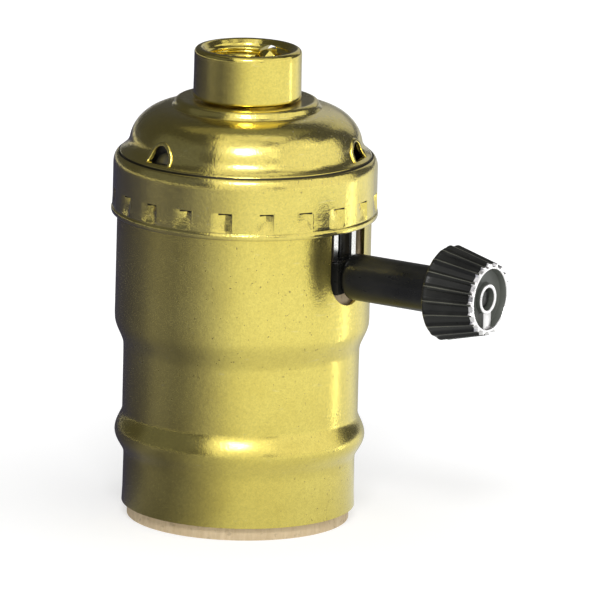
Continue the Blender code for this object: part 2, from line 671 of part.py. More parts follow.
def make_body():
    """Black moulded body that carries the switch, seated on the liner's taper."""
    seat = taper(BODY_RADIUS, BODY_LOWER_RADIUS, 3, -BODY_SKIRT_DEPTH)
    profile = [(0.0, BODY_TOP_Z), (BODY_RADIUS, BODY_TOP_Z)]
    profile += seat
    profile += [(BODY_BORE, -BODY_SKIRT_DEPTH), (BODY_BORE, BASE_Z), (0.0, BASE_Z)]
    body = lathe("socket_body", profile, BODY_STEPS, PHENOLIC)
    over = BODY_TOP_Z + 1.0 * MM

    # Bearing boss that stands in the shell's slot, and ribs between the fork's legs
    boss_z = (KEY_Z - BOSS_BELOW_KEY, KEY_Z + BOSS_ABOVE_KEY)
    flat = BODY_RADIUS - FRONT_FLAT_INSET
    cut(body, block("front_flat", (flat, BODY_RADIUS * 2), (-KEY_SLOT_HALF_WIDTH, KEY_SLOT_HALF_WIDTH), (boss_z[1], over)))
    join(body, block("bearing_boss", (CHAMBER_FRONT + 2.0 * MM, BOSS_FACE), (-BOSS_HALF_WIDTH, BOSS_HALF_WIDTH), boss_z))
    rib_z = (boss_z[1] - 0.5 * MM, BODY_TOP_Z - 1.0 * MM)
    for side in (-1, 1):
        rib_y = (side * RIB_WIDTH - RIB_WIDTH / 2.0, side * RIB_WIDTH + RIB_WIDTH / 2.0)
        join(body, block("front_rib", (flat - 1.0 * MM, flat + RIB_DEPTH), rib_y, rib_z))

    # Switch chamber, open at the top, with the key's two bearings
    chamber = block(
        "chamber", (-CHAMBER_BACK, CHAMBER_FRONT), (-CHAMBER_HALF_WIDTH, CHAMBER_HALF_WIDTH), (CHAMBER_Z, over)
    )
    bore = rod(
        "key_bore", (1, 0, 0), Vector((0, 0, KEY_Z)), Vector((BOSS_FACE + 1.0 * MM, 0, KEY_Z)),
        SHAFT_RADIUS + RUN_GAP, KEY_STEPS,
    )
    pilot_end = -CHAMBER_BACK - JOURNAL_DEPTH - SEAT_GAP
    pilot = rod(
        "pilot_bore", (1, 0, 0), Vector((pilot_end, 0, KEY_Z)), Vector((0, 0, KEY_Z)),
        JOURNAL_RADIUS + RUN_GAP, SMALL_STEPS,
    )
    fork_slot = block(
        "fork_slot",
        (FORK_FACE - SHEET - SEAT_GAP, FORK_FACE + SEAT_GAP),
        (-fork_half_width() - SEAT_GAP, fork_half_width() + SEAT_GAP),
        (KEY_Z - SHAFT_RADIUS - SEAT_GAP, over),
    )
    cut(body, chamber, bore, pilot, fork_slot)

    # Terminal recesses, the strap's slot, and holes for screws and rivets
    recess_z = KEY_Z + BODY_ABOVE_KEY - TERMINAL_HEIGHT - SEAT_GAP * 2
    half = TERMINAL_WIDTH / 2.0 + SEAT_GAP
    inner = TERMINAL_OUT - SEAT_GAP
    screw_z = terminal_screw_z()
    for side in (-1, 1):
        span = sorted((side * inner, side * BODY_RADIUS * 2))
        cut(body, block("terminal_recess", (-half, half), span, (recess_z, over)))
        start = Vector((0, side * (TERMINAL_OUT - SCREW_STEM_LENGTH), screw_z))
        end = Vector((0, side * BODY_RADIUS, screw_z))
        cut(body, rod("stem_hole", (0, 1, 0), start, end, SCREW_STEM_RADIUS + SEAT_GAP, MICRO_STEPS))
        low = Vector((-RIVET_BACK, side * RIVET_SIDE, BASE_Z - 1.0 * MM))
        high = Vector((-RIVET_BACK, side * RIVET_SIDE, over))
        cut(body, rod("rivet_hole", (0, 0, 1), low, high, RIVET_RADIUS + SEAT_GAP, MICRO_STEPS))
    strap_half = STRAP_WIDTH / 2.0 + SEAT_GAP
    strap_y = (-TERMINAL_OUT - TERMINAL_THICKNESS - SEAT_GAP, -inner)
    low = Vector((-SMALL_RIVET_BACK, 0, BASE_Z - 1.0 * MM))
    high = Vector((-SMALL_RIVET_BACK, 0, CHAMBER_Z + 1.0 * MM))
    cut(
        body,
        block("strap_slot", (-strap_half, strap_half), strap_y, (BASE_Z - 1.0 * MM, recess_z + 1.0 * MM)),
        rod("small_rivet_hole", (0, 0, 1), low, high, SMALL_RIVET_RADIUS + SEAT_GAP, MICRO_STEPS),
    )
    return body


def fork_half_width():
    return SHAFT_NECK + SEAT_GAP + FORK_LEG


def terminal_screw_z():
    return BODY_TOP_Z - TERMINAL_HEIGHT / 2.0


def make_cover():
    """Moulded plate that closes the switch chamber."""
    radius = BODY_RADIUS
    profile = [(0.0, COVER_TOP_Z), (radius, COVER_TOP_Z), (radius, COVER_Z), (0.0, COVER_Z)]
    cover = lathe("switch_cover", profile, BODY_STEPS, PHENOLIC)
    under, over = COVER_Z - 1.0 * MM, COVER_TOP_Z + 1.0 * MM
    groove_z = (under, COVER_Z + SHEET + SEAT_GAP)
    half = TERMINAL_WIDTH / 2.0 + SEAT_GAP
    inner = TERMINAL_OUT - SEAT_GAP
    blade_x = (-BLADE_WIDTH * 1.5 - SEAT_GAP, -BLADE_WIDTH * 0.5 + SEAT_GAP)
    for side in (-1, 1):
        span = sorted((side * inner, side * radius * 2))
        cut(cover, block("cover_notch", (-half, half), span, (under, over)))
        low = Vector((-RIVET_BACK, side * RIVET_SIDE, under))
        high = Vector((-RIVET_BACK, side * RIVET_SIDE, over))
        cut(cover, rod("cover_rivet_hole", (0, 0, 1), low, high, RIVET_RADIUS + SEAT_GAP, MICRO_STEPS))
    tab = (-fork_half_width() - SEAT_GAP, fork_half_width() + SEAT_GAP)
    cut(
        cover,
        block("leg_groove", blade_x, (-TERMINAL_THICKNESS / 2 - SEAT_GAP, inner + 1.0 * MM), groove_z),
        block("tab_groove", (FORK_FACE - FORK_TAB - SEAT_GAP, radius * 2), tab, groove_z),
    )
    return cover


def make_fork():
    """Plated steel fork that drops over the shaft's neck and keeps the key in."""
    half = fork_half_width()
    inner = half - FORK_LEG
    bottom = -SHAFT_RADIUS
    top = COVER_Z + SHEET - KEY_Z
    bridge = top - FORK_BRIDGE
    outline = [(half, top), (half, bottom), (inner, bottom), (inner, bridge)]
    outline += [(-inner, bridge), (-inner, bottom), (-half, bottom), (-half, top)]
    place = Matrix.Translation((FORK_FACE - SHEET / 2.0, 0.0, KEY_Z)) @ FRONT_VIEW
    fork = plate("retaining_fork", outline, SHEET, place, NICKEL)
    tab_x = (FORK_FACE - FORK_TAB, FORK_FACE - SHEET / 2.0)
    return join(fork, block("fork_tab", tab_x, (-half, half), (COVER_Z, COVER_Z + SHEET)))


def make_centre_contact():
    """Folded bronze leaf: foot, slope, flat pad under the lamp's tip, and a turned-up end."""
    foot_z = BASE_Z - SEAT_GAP - SHEET / 2.0
    pad_z = SHEET / 2.0
    foot_end = SMALL_RIVET_BACK - SMALL_RIVET_HEAD
    line = [
        (-CONTACT_REACH, foot_z),
        (-foot_end, foot_z),
        (-PAD_HALF_LENGTH, pad_z),
        (PAD_HALF_LENGTH, pad_z),
        (PAD_HALF_LENGTH + 1.2 * MM, pad_z + 1.0 * MM),
    ]
    leaf = strip("centre_contact", line, SHEET, LEAF_WIDTH, SIDE_VIEW, BRONZE)
    low = Vector((-SMALL_RIVET_BACK, 0, foot_z - 1.0 * MM))
    high = Vector((-SMALL_RIVET_BACK, 0, foot_z + 1.0 * MM))
    return cut(leaf, rod("foot_hole", (0, 0, 1), low, high, SMALL_RIVET_RADIUS + SEAT_GAP, MICRO_STEPS))


def make_load_contact():
    """Flat bronze strip on the chamber's floor, under the rotor's blade."""
    back = -CHAMBER_BACK + SEAT_GAP
    front = -BLADE_WIDTH * 0.5
    width = (-LEAF_WIDTH / 2.0, LEAF_WIDTH / 2.0)
    leaf = block("load_contact", (back, front), width, (LEAF_Z, LEAF_Z + SHEET), BRONZE)
    low = Vector((-SMALL_RIVET_BACK, 0, LEAF_Z - 1.0 * MM))
    high = Vector((-SMALL_RIVET_BACK, 0, LEAF_Z + 1.0 * MM))
    return cut(leaf, rod("leaf_hole", (0, 0, 1), low, high, SMALL_RIVET_RADIUS + SEAT_GAP, MICRO_STEPS))


def make_rivet(name, x, y, low, high, radius, head, height, material):
    """A rivet whose shank runs between two faces, with a domed head on each."""
    crown = head * 0.55
    profile = [
        (0.0, high + height),
        (crown, high + height),
        (head, high + height * 0.4),
        (head, high),
        (radius, high),
        (radius, low),
        (head, low),
        (head, low - height * 0.4),
        (crown, low - height),
        (0.0, low - height),
    ]
    rivet = lathe(name, profile, MICRO_STEPS, material)
    rivet.location = (x, y, 0.0)
    return rivet


def make_rivets():
    for side, hand in ((-1, "right"), (1, "left")):
        make_rivet(
            "body_rivet_" + hand, -RIVET_BACK, side * RIVET_SIDE,
            SCREW_SHELL_TOP_Z - SCREW_SHELL_WALL - SEAT_GAP, COVER_TOP_Z + SEAT_GAP,
            RIVET_RADIUS, RIVET_HEAD, RIVET_HEAD_HEIGHT, NICKEL,
        )
    make_rivet(
        "contact_rivet", -SMALL_RIVET_BACK, 0.0,
        BASE_Z - SEAT_GAP * 2 - SHEET, LEAF_Z + SHEET + SEAT_GAP,
        SMALL_RIVET_RADIUS, SMALL_RIVET_HEAD, SMALL_RIVET_HEIGHT, BRASS,
    )


def make_terminals():
    """Two terminal plates in the body's side recesses, and the strips folded from them."""
    half = TERMINAL_WIDTH / 2.0
    low = BODY_TOP_Z - TERMINAL_HEIGHT
    stem_z = terminal_screw_z()
    hot_y = (TERMINAL_OUT, TERMINAL_OUT + TERMINAL_THICKNESS)
    hot = block("hot_terminal", (-half, half), hot_y, (low, COVER_Z + SHEET), BRASS)
    leg_x = (-BLADE_WIDTH * 1.5, -BLADE_WIDTH * 0.5)
    leg_half = TERMINAL_THICKNESS / 2.0
    tip_z = KEY_Z + ROTOR_SWEEP + SEAT_GAP
    join(
        hot,
        block("hot_leg", leg_x, (-leg_half, TERMINAL_OUT + leg_half), (COVER_Z, COVER_Z + SHEET)),
        block("hot_tip", leg_x, (-leg_half, leg_half), (tip_z, COVER_Z + SHEET / 2.0)),
    )
    neutral_y = (-TERMINAL_OUT - TERMINAL_THICKNESS, -TERMINAL_OUT)
    neutral = block("neutral_terminal", (-half, half), neutral_y, (low, BODY_TOP_Z), NICKEL)
    strap = STRAP_WIDTH / 2.0
    join(neutral, block("neutral_strap", (-strap, strap), neutral_y, (BASE_Z, low + 0.5 * MM)))
    for plate_piece, side in ((hot, 1), (neutral, -1)):
        start = Vector((0, side * (TERMINAL_OUT - 1.0 * MM), stem_z))
        end = Vector((0, side * (TERMINAL_OUT + 2.0 * MM), stem_z))
        cut(plate_piece, rod("terminal_hole", (0, 1, 0), start, end, SCREW_STEM_RADIUS + SEAT_GAP, MICRO_STEPS))


def make_terminal_screw(name, side, material):
    """Slotted binding-head screw, its head facing out from the body."""
    head = SCREW_HEAD_HEIGHT
    profile = [
        (0.0, head),
        (SCREW_HEAD_RADIUS * 0.8, head),
        (SCREW_HEAD_RADIUS, head * 0.6),
        (SCREW_HEAD_RADIUS, 0.0),
        (SCREW_STEM_RADIUS, 0.0),
        (SCREW_STEM_RADIUS, -SCREW_STEM_LENGTH),
        (0.0, -SCREW_STEM_LENGTH),
    ]
    screw = lathe(name, profile, SMALL_STEPS, material)
    half = SLOT_WIDTH / 2.0
    span = SCREW_HEAD_RADIUS * 1.5
    groove = block(name + "_slot", (-span, span), (-half, half), (head - SLOT_DEPTH, head + 1.0 * MM))
    cut(screw, groove)
    face = TERMINAL_OUT + TERMINAL_THICKNESS + SEAT_GAP
    place = Matrix.Translation((0.0, side * face, terminal_screw_z())) @ Matrix.Rotation(-side * math.pi / 2, 4, "X")
    screw.matrix_world = place
    groove.matrix_world = place


def make_detent_spring():
    """Flat spring that stands beside the rotor's square and clicks it round."""
    face = -(ROTOR_SWEEP + SEAT_GAP / 2.0)
    outer = -CHAMBER_HALF_WIDTH + SEAT_GAP
    line = [
        (outer, LEAF_Z + SHEET / 2.0),
        (face - SHEET / 2.0, LEAF_Z + SHEET / 2.0),
        (face - SHEET / 2.0, KEY_Z + ROTOR_SWEEP),
        (face - SHEET, KEY_Z + ROTOR_SWEEP + 1.5 * MM),
    ]
    middle = SHAFT_START + RATCHET_LENGTH / 2.0
    place = Matrix.Translation((middle, 0.0, 0.0)) @ FRONT_VIEW
    return strip("detent_spring", line, SHEET, RATCHET_LENGTH * 0.7, place, NICKEL)


def on_key(obj, key_axis, *cutters):
    """Hang a piece, made about its own Z, on the key's axis."""
    for item in (obj, *cutters):
        item.parent = key_axis
    return obj


def make_rotor(key_axis):
    """Moulded rotor: journal, slotted drum and square ratchet with a socket for the shaft."""
    drum_start = -DRUM_LENGTH
    journal_end = -CHAMBER_BACK - JOURNAL_DEPTH
    profile = [
        (0.0, 0.5 * MM),
        (DRUM_RADIUS, 0.5 * MM),
        (DRUM_RADIUS, drum_start),
        (JOURNAL_RADIUS, drum_start),
        (JOURNAL_RADIUS, journal_end),
        (0.0, journal_end),
    ]
    rotor = lathe("switch_rotor", profile, KEY_STEPS, PHENOLIC)
    flat = RATCHET_FLAT
    chamfer = flat * 2.0 - math.sqrt(2.0) * (ROTOR_SWEEP - SEAT_GAP)
    corner = flat - max(chamfer, 0.05 * MM)
    outline = [
        (flat, corner), (corner, flat), (-corner, flat), (-flat, corner),
        (-flat, -corner), (-corner, -flat), (corner, -flat), (flat, -corner),
    ]
    middle = Matrix.Translation((0.0, 0.0, RATCHET_LENGTH / 2.0))
    ratchet = plate("ratchet", outline, RATCHET_LENGTH, middle)
    hole = SHAFT_SQUARE + RUN_GAP
    socket = block("shaft_socket", (-hole, hole), (-hole, hole), (SHAFT_START - SEAT_GAP, RATCHET_LENGTH + 1.0 * MM))
    slot_half = BLADE_THICKNESS / 2.0 + SEAT_GAP
    slot_z = (-BLADE_WIDTH * 1.5 - SEAT_GAP, -BLADE_WIDTH * 0.5 + SEAT_GAP)
    blade_slot = block("blade_slot", (-DRUM_RADIUS * 2, DRUM_RADIUS * 2), (-slot_half, slot_half), slot_z)
    join(rotor, ratchet)
    cut(rotor, socket, blade_slot)
    on_key(rotor, key_axis, ratchet, socket, blade_slot)


def make_rotor_contact(key_axis):
    """Bronze blade across the drum, with rounded tips that bridge the two fixed contacts."""
    half = BLADE_WIDTH / 2.0
    tip = BLADE_THICKNESS / 2.0
    outline = arc((ROTOR_SWEEP - tip, 0.0), (tip, tip), -90, 90, 6)
    outline += arc((-ROTOR_SWEEP + tip, 0.0), (tip, tip), 90, 270, 6)
    place = Matrix.Translation((0.0, 0.0, -half * 2.0))
    on_key(plate("rotor_contact", outline, BLADE_WIDTH, place, BRONZE), key_axis)


def make_shaft(key_axis):
    """Steel key shaft: squared end in the rotor, neck for the fork, plain end in the stalk."""
    neck_back = FORK_FACE - SHEET - SEAT_GAP
    neck_front = FORK_FACE + SEAT_GAP
    end = STALK_START + SHAFT_IN_STALK
    round_start = RATCHET_LENGTH + SEAT_GAP
    edge = 0.3 * MM
    profile = [
        (0.0, end),
        (SHAFT_RADIUS - edge, end),
        (SHAFT_RADIUS, end - edge),
        (SHAFT_RADIUS, neck_front),
        (SHAFT_NECK, neck_front),
        (SHAFT_NECK, neck_back),
        (SHAFT_RADIUS, neck_back),
        (SHAFT_RADIUS, round_start),
        (0.0, round_start),
    ]
    shaft = lathe("key_shaft", profile, KEY_STEPS, NICKEL)
    square = block("shaft_square", (-SHAFT_SQUARE, SHAFT_SQUARE), (-SHAFT_SQUARE, SHAFT_SQUARE),
                   (SHAFT_START, round_start + 0.5 * MM))
    join(shaft, square)
    on_key(shaft, key_axis, square)


def make_stalk(key_axis):
    """Black moulded stalk over the shaft, with a spigot that carries the knob."""
    bore = SHAFT_RADIUS + SEAT_GAP
    bore_end = STALK_START + SHAFT_IN_STALK + SEAT_GAP
    tip_end = SPIGOT_END + TIP_LENGTH
    profile = [
        (0.0, tip_end),
        (TIP_RADIUS, tip_end),
        (TIP_RADIUS, SPIGOT_END),
        (SPIGOT_RADIUS, SPIGOT_END),
        (SPIGOT_RADIUS, STALK_SHOULDER),
        (STALK_RADIUS, STALK_SHOULDER),
        *arc((STALK_RADIUS - STALK_ROUND, STALK_START + STALK_ROUND), (STALK_ROUND, STALK_ROUND), 0, -90, 2),
        (bore, STALK_START),
        (bore, bore_end),
        (0.0, bore_end),
    ]
    on_key(lathe("key_stalk", profile, KEY_STEPS, PHENOLIC), key_axis)


def make_knob(key_axis):
    """Fluted knob, wider at the back, with a dished face, a boss ring and a pointer bar."""
    rim_inner = KNOB_FRONT_RADIUS - RIM_WIDTH
    dish = KNOB_FACE - DISH_DEPTH
    ring = KNOB_FACE - BOSS_RING_RECESS
    hole = TIP_RADIUS + SEAT_GAP
    bore = SPIGOT_RADIUS + SEAT_GAP
    socket = STALK_RADIUS + SEAT_GAP
    bore_end = SPIGOT_END + SEAT_GAP
    socket_end = STALK_SHOULDER + SEAT_GAP
    profile = [
        (0.0, ring),
        (BOSS_RING_RADIUS, ring),
        (BOSS_RING_RADIUS, dish),
        (rim_inner - 0.1 * MM, dish),
        (rim_inner, KNOB_FACE),
        (KNOB_FRONT_RADIUS, KNOB_FACE),
        *arc((KNOB_BACK_RADIUS - KNOB_ROUND, KNOB_BACK + KNOB_ROUND), (KNOB_ROUND, KNOB_ROUND), 8, -90, 2),
        (0.0, KNOB_BACK),
    ]
    stepped_bore = [
        (0.0, KNOB_FACE),
        (hole, KNOB_FACE),
        (hole, bore_end),
        (bore, bore_end),
        (bore, socket_end),
        (socket, socket_end),
        (socket, KNOB_BACK - 1.0 * MM),
        (0.0, KNOB_BACK - 1.0 * MM),
    ]
    steps = FLUTE_COUNT * 3
    knob = lathe("turn_knob", profile, steps, PHENOLIC)
    pitch = 2.0 * math.pi / FLUTE_COUNT
    outer_edge = KNOB_BACK_RADIUS - KNOB_ROUND
    for vertex in knob.data.vertices:
        x, y, z = vertex.co
        radius = math.hypot(x, y)
        angle = math.atan2(y, x)
        ridge = round(angle / pitch)
        offset = angle - ridge * pitch
        on_ridge = abs(offset) < 0.001
        if not on_ridge:
            offset = math.copysign(RIDGE_HALF_ANGLE, offset)
        on_side = radius > KNOB_FRONT_RADIUS - RIM_WIDTH / 2.0 and (z > KNOB_BACK + 0.1 * MM or radius > outer_edge)
        if on_side and not on_ridge:
            radius -= FLUTE_DEPTH
        angle = ridge * pitch + offset
        vertex.co = (radius * math.cos(angle), radius * math.sin(angle), z)
    half = POINTER_WIDTH / 2.0
    reach = (BOSS_RING_RADIUS - 0.2 * MM, rim_inner + 0.2 * MM)
    pointer = block("pointer", reach, (-half, half), (dish - 0.5 * MM, ring - 0.1 * MM))
    bores = lathe("knob_bores", stepped_bore, KEY_STEPS)
    join(knob, pointer)
    cut(knob, bores)
    on_key(knob, key_axis, pointer, bores)


key_axis = bpy.data.objects.new("key_axis", None)
PARTS.objects.link(key_axis)
key_axis.location = (0.0, 0.0, KEY_Z)
key_axis.rotation_euler = (0.0, math.pi / 2.0, 0.0)

make_cap()
make_hub()
make_set_screw()
make_insulator()
make_outer_shell()
make_liner()
make_screw_shell()
make_body()
make_cover()
make_fork()
make_centre_contact()
make_load_contact()
make_rivets()
make_terminals()
make_terminal_screw("hot_terminal_screw", 1, BRASS)
make_terminal_screw("neutral_terminal_screw", -1, NICKEL)
make_detent_spring()
make_rotor(key_axis)
make_rotor_contact(key_axis)
make_shaft(key_axis)
make_stalk(key_axis)
make_knob(key_axis)
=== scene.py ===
"""The turn knob lamp socket, dressed for its picture: finishes, fine metalwork, floor, lights and camera."""
import math

import bpy
from mathutils import Matrix, Vector


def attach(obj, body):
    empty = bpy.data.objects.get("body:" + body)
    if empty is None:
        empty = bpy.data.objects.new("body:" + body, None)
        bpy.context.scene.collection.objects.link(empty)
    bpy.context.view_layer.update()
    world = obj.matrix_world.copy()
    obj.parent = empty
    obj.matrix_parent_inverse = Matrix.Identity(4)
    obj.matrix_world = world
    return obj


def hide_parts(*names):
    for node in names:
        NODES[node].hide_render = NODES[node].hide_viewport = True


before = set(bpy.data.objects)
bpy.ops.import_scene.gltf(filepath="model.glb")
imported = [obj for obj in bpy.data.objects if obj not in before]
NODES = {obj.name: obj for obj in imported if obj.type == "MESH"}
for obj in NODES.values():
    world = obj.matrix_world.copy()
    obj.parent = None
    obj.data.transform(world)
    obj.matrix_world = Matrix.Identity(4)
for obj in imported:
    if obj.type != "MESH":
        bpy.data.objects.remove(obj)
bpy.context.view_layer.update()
MM = 0.001
FULL_TURN = 2.0 * math.pi

# Heights, and distances along the key, in millimetres: the solids' own, but for the hub's top, 0.2 mm higher here
KEY_Z = 8.1
COLLAR_Z = 29.85
HUB_Z = 30.15
HUB_TOP_Z = 36.7
RIM_Z = -27.0
MOUTH_Z = -25.2
STALK_START = 17.4
KNOB_BACK = 31.9
KNOB_FACE = 38.9


# Finishes


class Value:
    """A socket of a finish's nodes, used in ordinary expressions."""

    def __init__(self, finish, socket):
        self.finish = finish
        self.socket = socket

    def __add__(self, other):
        return self.finish.math("ADD", self, other)

    def __sub__(self, other):
        return self.finish.math("SUBTRACT", self, other)

    def __mul__(self, other):
        return self.finish.math("MULTIPLY", self, other)


class Finish:
    """A material built from one Principled shader and the nodes that feed it, placed by object coordinates."""

    def __init__(self, name, **constants):
        self.material = bpy.data.materials.new(name)
        self.material.use_nodes = True
        self.tree = self.material.node_tree
        self.shader = self.tree.nodes["Principled BSDF"]
        for socket, value in constants.items():
            self.feed(self.shader.inputs[socket.replace("_", " ")], value)
        self.place = self.node("ShaderNodeTexCoord", out="Object")

    def feed(self, socket, value):
        """Links a value to a socket, or sets it there as a constant."""
        if isinstance(value, Value):
            self.tree.links.new(value.socket, socket)
        elif isinstance(value, tuple) and len(value) == 3 and socket.type == "RGBA":
            socket.default_value = (*value, 1.0)
        else:
            socket.default_value = value

    def node(self, kind, settings=None, values=(), out=0, **named):
        """Any node: its type, its settings, then its inputs in order or by name."""
        node = self.tree.nodes.new(kind)
        for key, value in (settings or {}).items():
            if key == "stops":
                ramp = node.color_ramp
                while len(ramp.elements) < len(value):
                    ramp.elements.new(0.5)
                for element, (position, colour) in zip(ramp.elements, value):
                    element.position = position
                    element.color = (*colour, 1.0) if isinstance(colour, tuple) else (colour, colour, colour, 1.0)
            else:
                setattr(node, key, value)
        for index, value in enumerate(values):
            self.feed(node.inputs[index], value)
        for key, value in named.items():
            self.feed(node.inputs[key.replace("_", " ")], value)
        return Value(self, node.outputs[out])

    def math(self, operation, *values):
        return self.node("ShaderNodeMath", {"operation": operation}, values)

    def level_axes(self):
        """The two level object coordinates, in metres."""
        split = self.node("ShaderNodeSeparateXYZ", None, (self.place,)).socket.node
        return Value(self, split.outputs["X"]), Value(self, split.outputs["Y"])

    def length(self, x, y):
        return self.math("SQRT", x * x + y * y)

    def stretched(self, x, y, z):
        """The object coordinates times x, y and z: a small factor draws a pattern out along its axis."""
        return self.node("ShaderNodeVectorMath", {"operation": "MULTIPLY"}, (self.place, (x, y, z)))

    def noise(self, scale, detail=3.0, rough=0.5, place=None):
        return self.node(
            "ShaderNodeTexNoise", None, (), 0,
            Vector=place or self.place, Scale=scale, Detail=detail, Roughness=rough,
        )

    def band(self, value, low, high, floor=0.0, ceiling=1.0):
        """Maps low..high of a value to floor..ceiling, held at both ends."""
        return self.node("ShaderNodeMapRange", {"clamp": True}, (value, low, high, floor, ceiling))

    def mix(self, factor, first, second):
        """A mix of two colours: the node's inputs 6 and 7 and its output 2 are the ones for colours."""
        node = self.tree.nodes.new("ShaderNodeMix")
        node.data_type = "RGBA"
        self.feed(node.inputs["Factor"], factor)
        self.feed(node.inputs[6], first)
        self.feed(node.inputs[7], second)
        return Value(self, node.outputs[2])

    def bump(self, height, strength, distance):
        normal = self.node("ShaderNodeBump", None, (), 0, Strength=strength, Distance=distance, Height=height)
        self.set("Normal", normal)

    def set(self, socket, value):
        self.feed(self.shader.inputs[socket], value)


def lacquered_brass(name, roughness, grain, coat, deep=(0.79, 0.64, 0.125), light=(0.90, 0.755, 0.170)):
    """Drawn brass under clear lacquer: drawing lines, orange peel, dirt, small scratches and dull patches."""
    finish = Finish(name, Metallic=1.0, Coat_Roughness=0.35, Coat_IOR=1.5)
    mottle = finish.noise(170.0, 4.0, 0.6)
    broad = finish.noise(45.0, 2.0, 0.5)
    peel = finish.noise(1900.0, 2.0, 0.55)
    lines = finish.noise(1.0, 3.0, 0.6, finish.stretched(1500.0, 1500.0, 60.0))
    spun = finish.noise(1.0, 2.0, 0.6, finish.stretched(90.0, 90.0, 4200.0))
    scratch = finish.band(finish.noise(1.0, 1.0, 0.5, finish.stretched(700.0, 260.0, 2600.0)), 0.72, 0.76)
    speck = finish.band(finish.noise(2300.0, 1.0, 0.5), 0.70, 0.76) * finish.band(broad, 0.42, 0.58)
    tone = finish.band(mottle * 0.5 + broad * 0.5, 0.35, 0.65)
    colour = finish.mix(tone, deep, light)
    colour = finish.mix(scratch * 0.18, colour, (0.95, 0.88, 0.55))
    pebble = finish.noise(4300.0, 2.0, 0.6)
    grit = finish.band(pebble * 0.6 + peel * 0.4, 0.38, 0.62)
    colour = finish.mix(grit * 0.30, colour, tuple(c * 0.58 for c in deep))
    finish.set("Base Color", finish.mix(speck * 0.65, colour, (0.16, 0.12, 0.05)))
    rough = finish.band(mottle * 0.6 + lines * 0.4, 0.3, 0.7, roughness - 0.04, roughness + 0.05)
    finish.set("Roughness", rough + speck * 0.2)
    finish.set("Coat Weight", finish.band(broad, 0.3, 0.7, coat * 0.8, coat * 1.2))
    height = lines * 0.30 * grain + spun * 0.30 * grain + peel * 3.0 * grain - scratch * 0.4 - speck * 0.5
    height = height + pebble * 2.4 * grain
    finish.bump(height + broad * 2.0, 0.24, 0.00002)
    return finish.material


def plated(name, colour, roughness):
    """Nickel plate or rolled sheet with a fine grain and dull patches."""
    finish = Finish(name, Metallic=1.0)
    patch = finish.noise(320.0, 4.0, 0.6)
    grain = finish.noise(1.0, 3.0, 0.6, finish.stretched(500.0, 4200.0, 500.0))
    finish.set("Base Color", finish.mix(patch, tuple(c * 0.86 for c in colour), colour))
    finish.set("Roughness", finish.band(patch * 0.5 + grain * 0.5, 0.3, 0.7, roughness - 0.06, roughness + 0.10))
    finish.bump(grain * 0.6 + patch * 0.4, 0.2, 0.00002)
    return finish.material


def moulded(name, colour, dusty, roughness):
    """Black phenolic: a slight moulded mottle, fine pits and a thin bloom."""
    finish = Finish(name, Metallic=0.0, IOR=1.5, Specular_IOR_Level=0.32)
    cloud = finish.noise(140.0, 4.0, 0.6)
    pits = finish.noise(1900.0, 2.0, 0.6)
    rub = finish.band(finish.noise(1.0, 2.0, 0.5, finish.stretched(300.0, 1600.0, 1600.0)), 0.62, 0.75)
    finish.set("Base Color", finish.mix(finish.band(cloud, 0.35, 0.7), colour, dusty))
    rough = finish.band(cloud * 0.7 + pits * 0.3, 0.3, 0.7, roughness - 0.06, roughness + 0.10)
    finish.set("Roughness", rough - rub * 0.08)
    finish.bump(pits * 0.7 + cloud * 0.8, 0.25, 0.00003)
    return finish.material


def fibre_sheet(name, pale, dark, scale):
    """Vulcanised fibre or kraft board: short fibres, specks and a soft nap."""
    finish = Finish(name, Metallic=0.0, Roughness=0.85)
    cloud = finish.noise(90.0, 4.0, 0.6)
    hairs = finish.noise(1.0, 3.0, 0.7, finish.stretched(scale, scale, scale * 0.25))
    specks = finish.band(finish.noise(1500.0, 1.0, 0.5), 0.62, 0.70)
    colour = finish.mix(finish.band(hairs * 0.6 + cloud * 0.4, 0.35, 0.65), dark, pale)
    finish.set("Base Color", finish.mix(specks * 0.35, colour, tuple(c * 0.45 for c in dark)))
    finish.bump(hairs * 0.8 + specks * 0.2, 0.5, 0.00006)
    return finish.material


SHELL_BRASS = lacquered_brass("shell_brass", 0.22, 1.2, 0.60)
CAP_BRASS = lacquered_brass("cap_brass", 0.15, 1.5, 0.95)
TURNED_BRASS = lacquered_brass("turned_brass", 0.14, 0.6, 0.55)
# Very dark brass for the crease and for the top edge and one side of each dent: painted shade.
PAINTED_SHADE_BRASS = lacquered_brass("painted_shade_brass", 0.5, 1.0, 0.1, (0.035, 0.030, 0.014), (0.07, 0.06, 0.03))
# Grey brass for the lanced tabs and the insides of their windows: painted shade.
TAB_PAINTED_SHADE = lacquered_brass("tab_painted_shade", 0.45, 1.0, 0.1, (0.26, 0.25, 0.18), (0.36, 0.34, 0.24))
NICKEL = plated("nickel_plate", (0.80, 0.79, 0.77), 0.22)
ALUMINIUM = plated("rolled_aluminium", (0.84, 0.84, 0.85), 0.30)
BRONZE = plated("spring_bronze", (0.80, 0.50, 0.26), 0.28)
PHENOLIC = moulded("black_phenolic", (0.008, 0.008, 0.007), (0.018, 0.018, 0.016), 0.30)
KNOB_BLACK = moulded("knob_black", (0.008, 0.008, 0.007), (0.019, 0.019, 0.016), 0.32)
# Lighter phenolic for the knob's narrow ridges: a painted highlight.
RIDGE_PAINTED_HIGHLIGHT = moulded("ridge_painted_highlight", (0.055, 0.055, 0.042), (0.12, 0.12, 0.09), 0.40)
DISH_GREY = moulded("dish_grey", (0.070, 0.076, 0.066), (0.11, 0.115, 0.10), 0.35)
SILVER = plated("silver_foil", (0.86, 0.84, 0.84), 0.28)
LINER = fibre_sheet("liner_board", (0.66, 0.53, 0.34), (0.50, 0.38, 0.22), 1400.0)
FIBRE = fibre_sheet("grey_fibre", (0.20, 0.19, 0.17), (0.11, 0.105, 0.10), 1600.0)

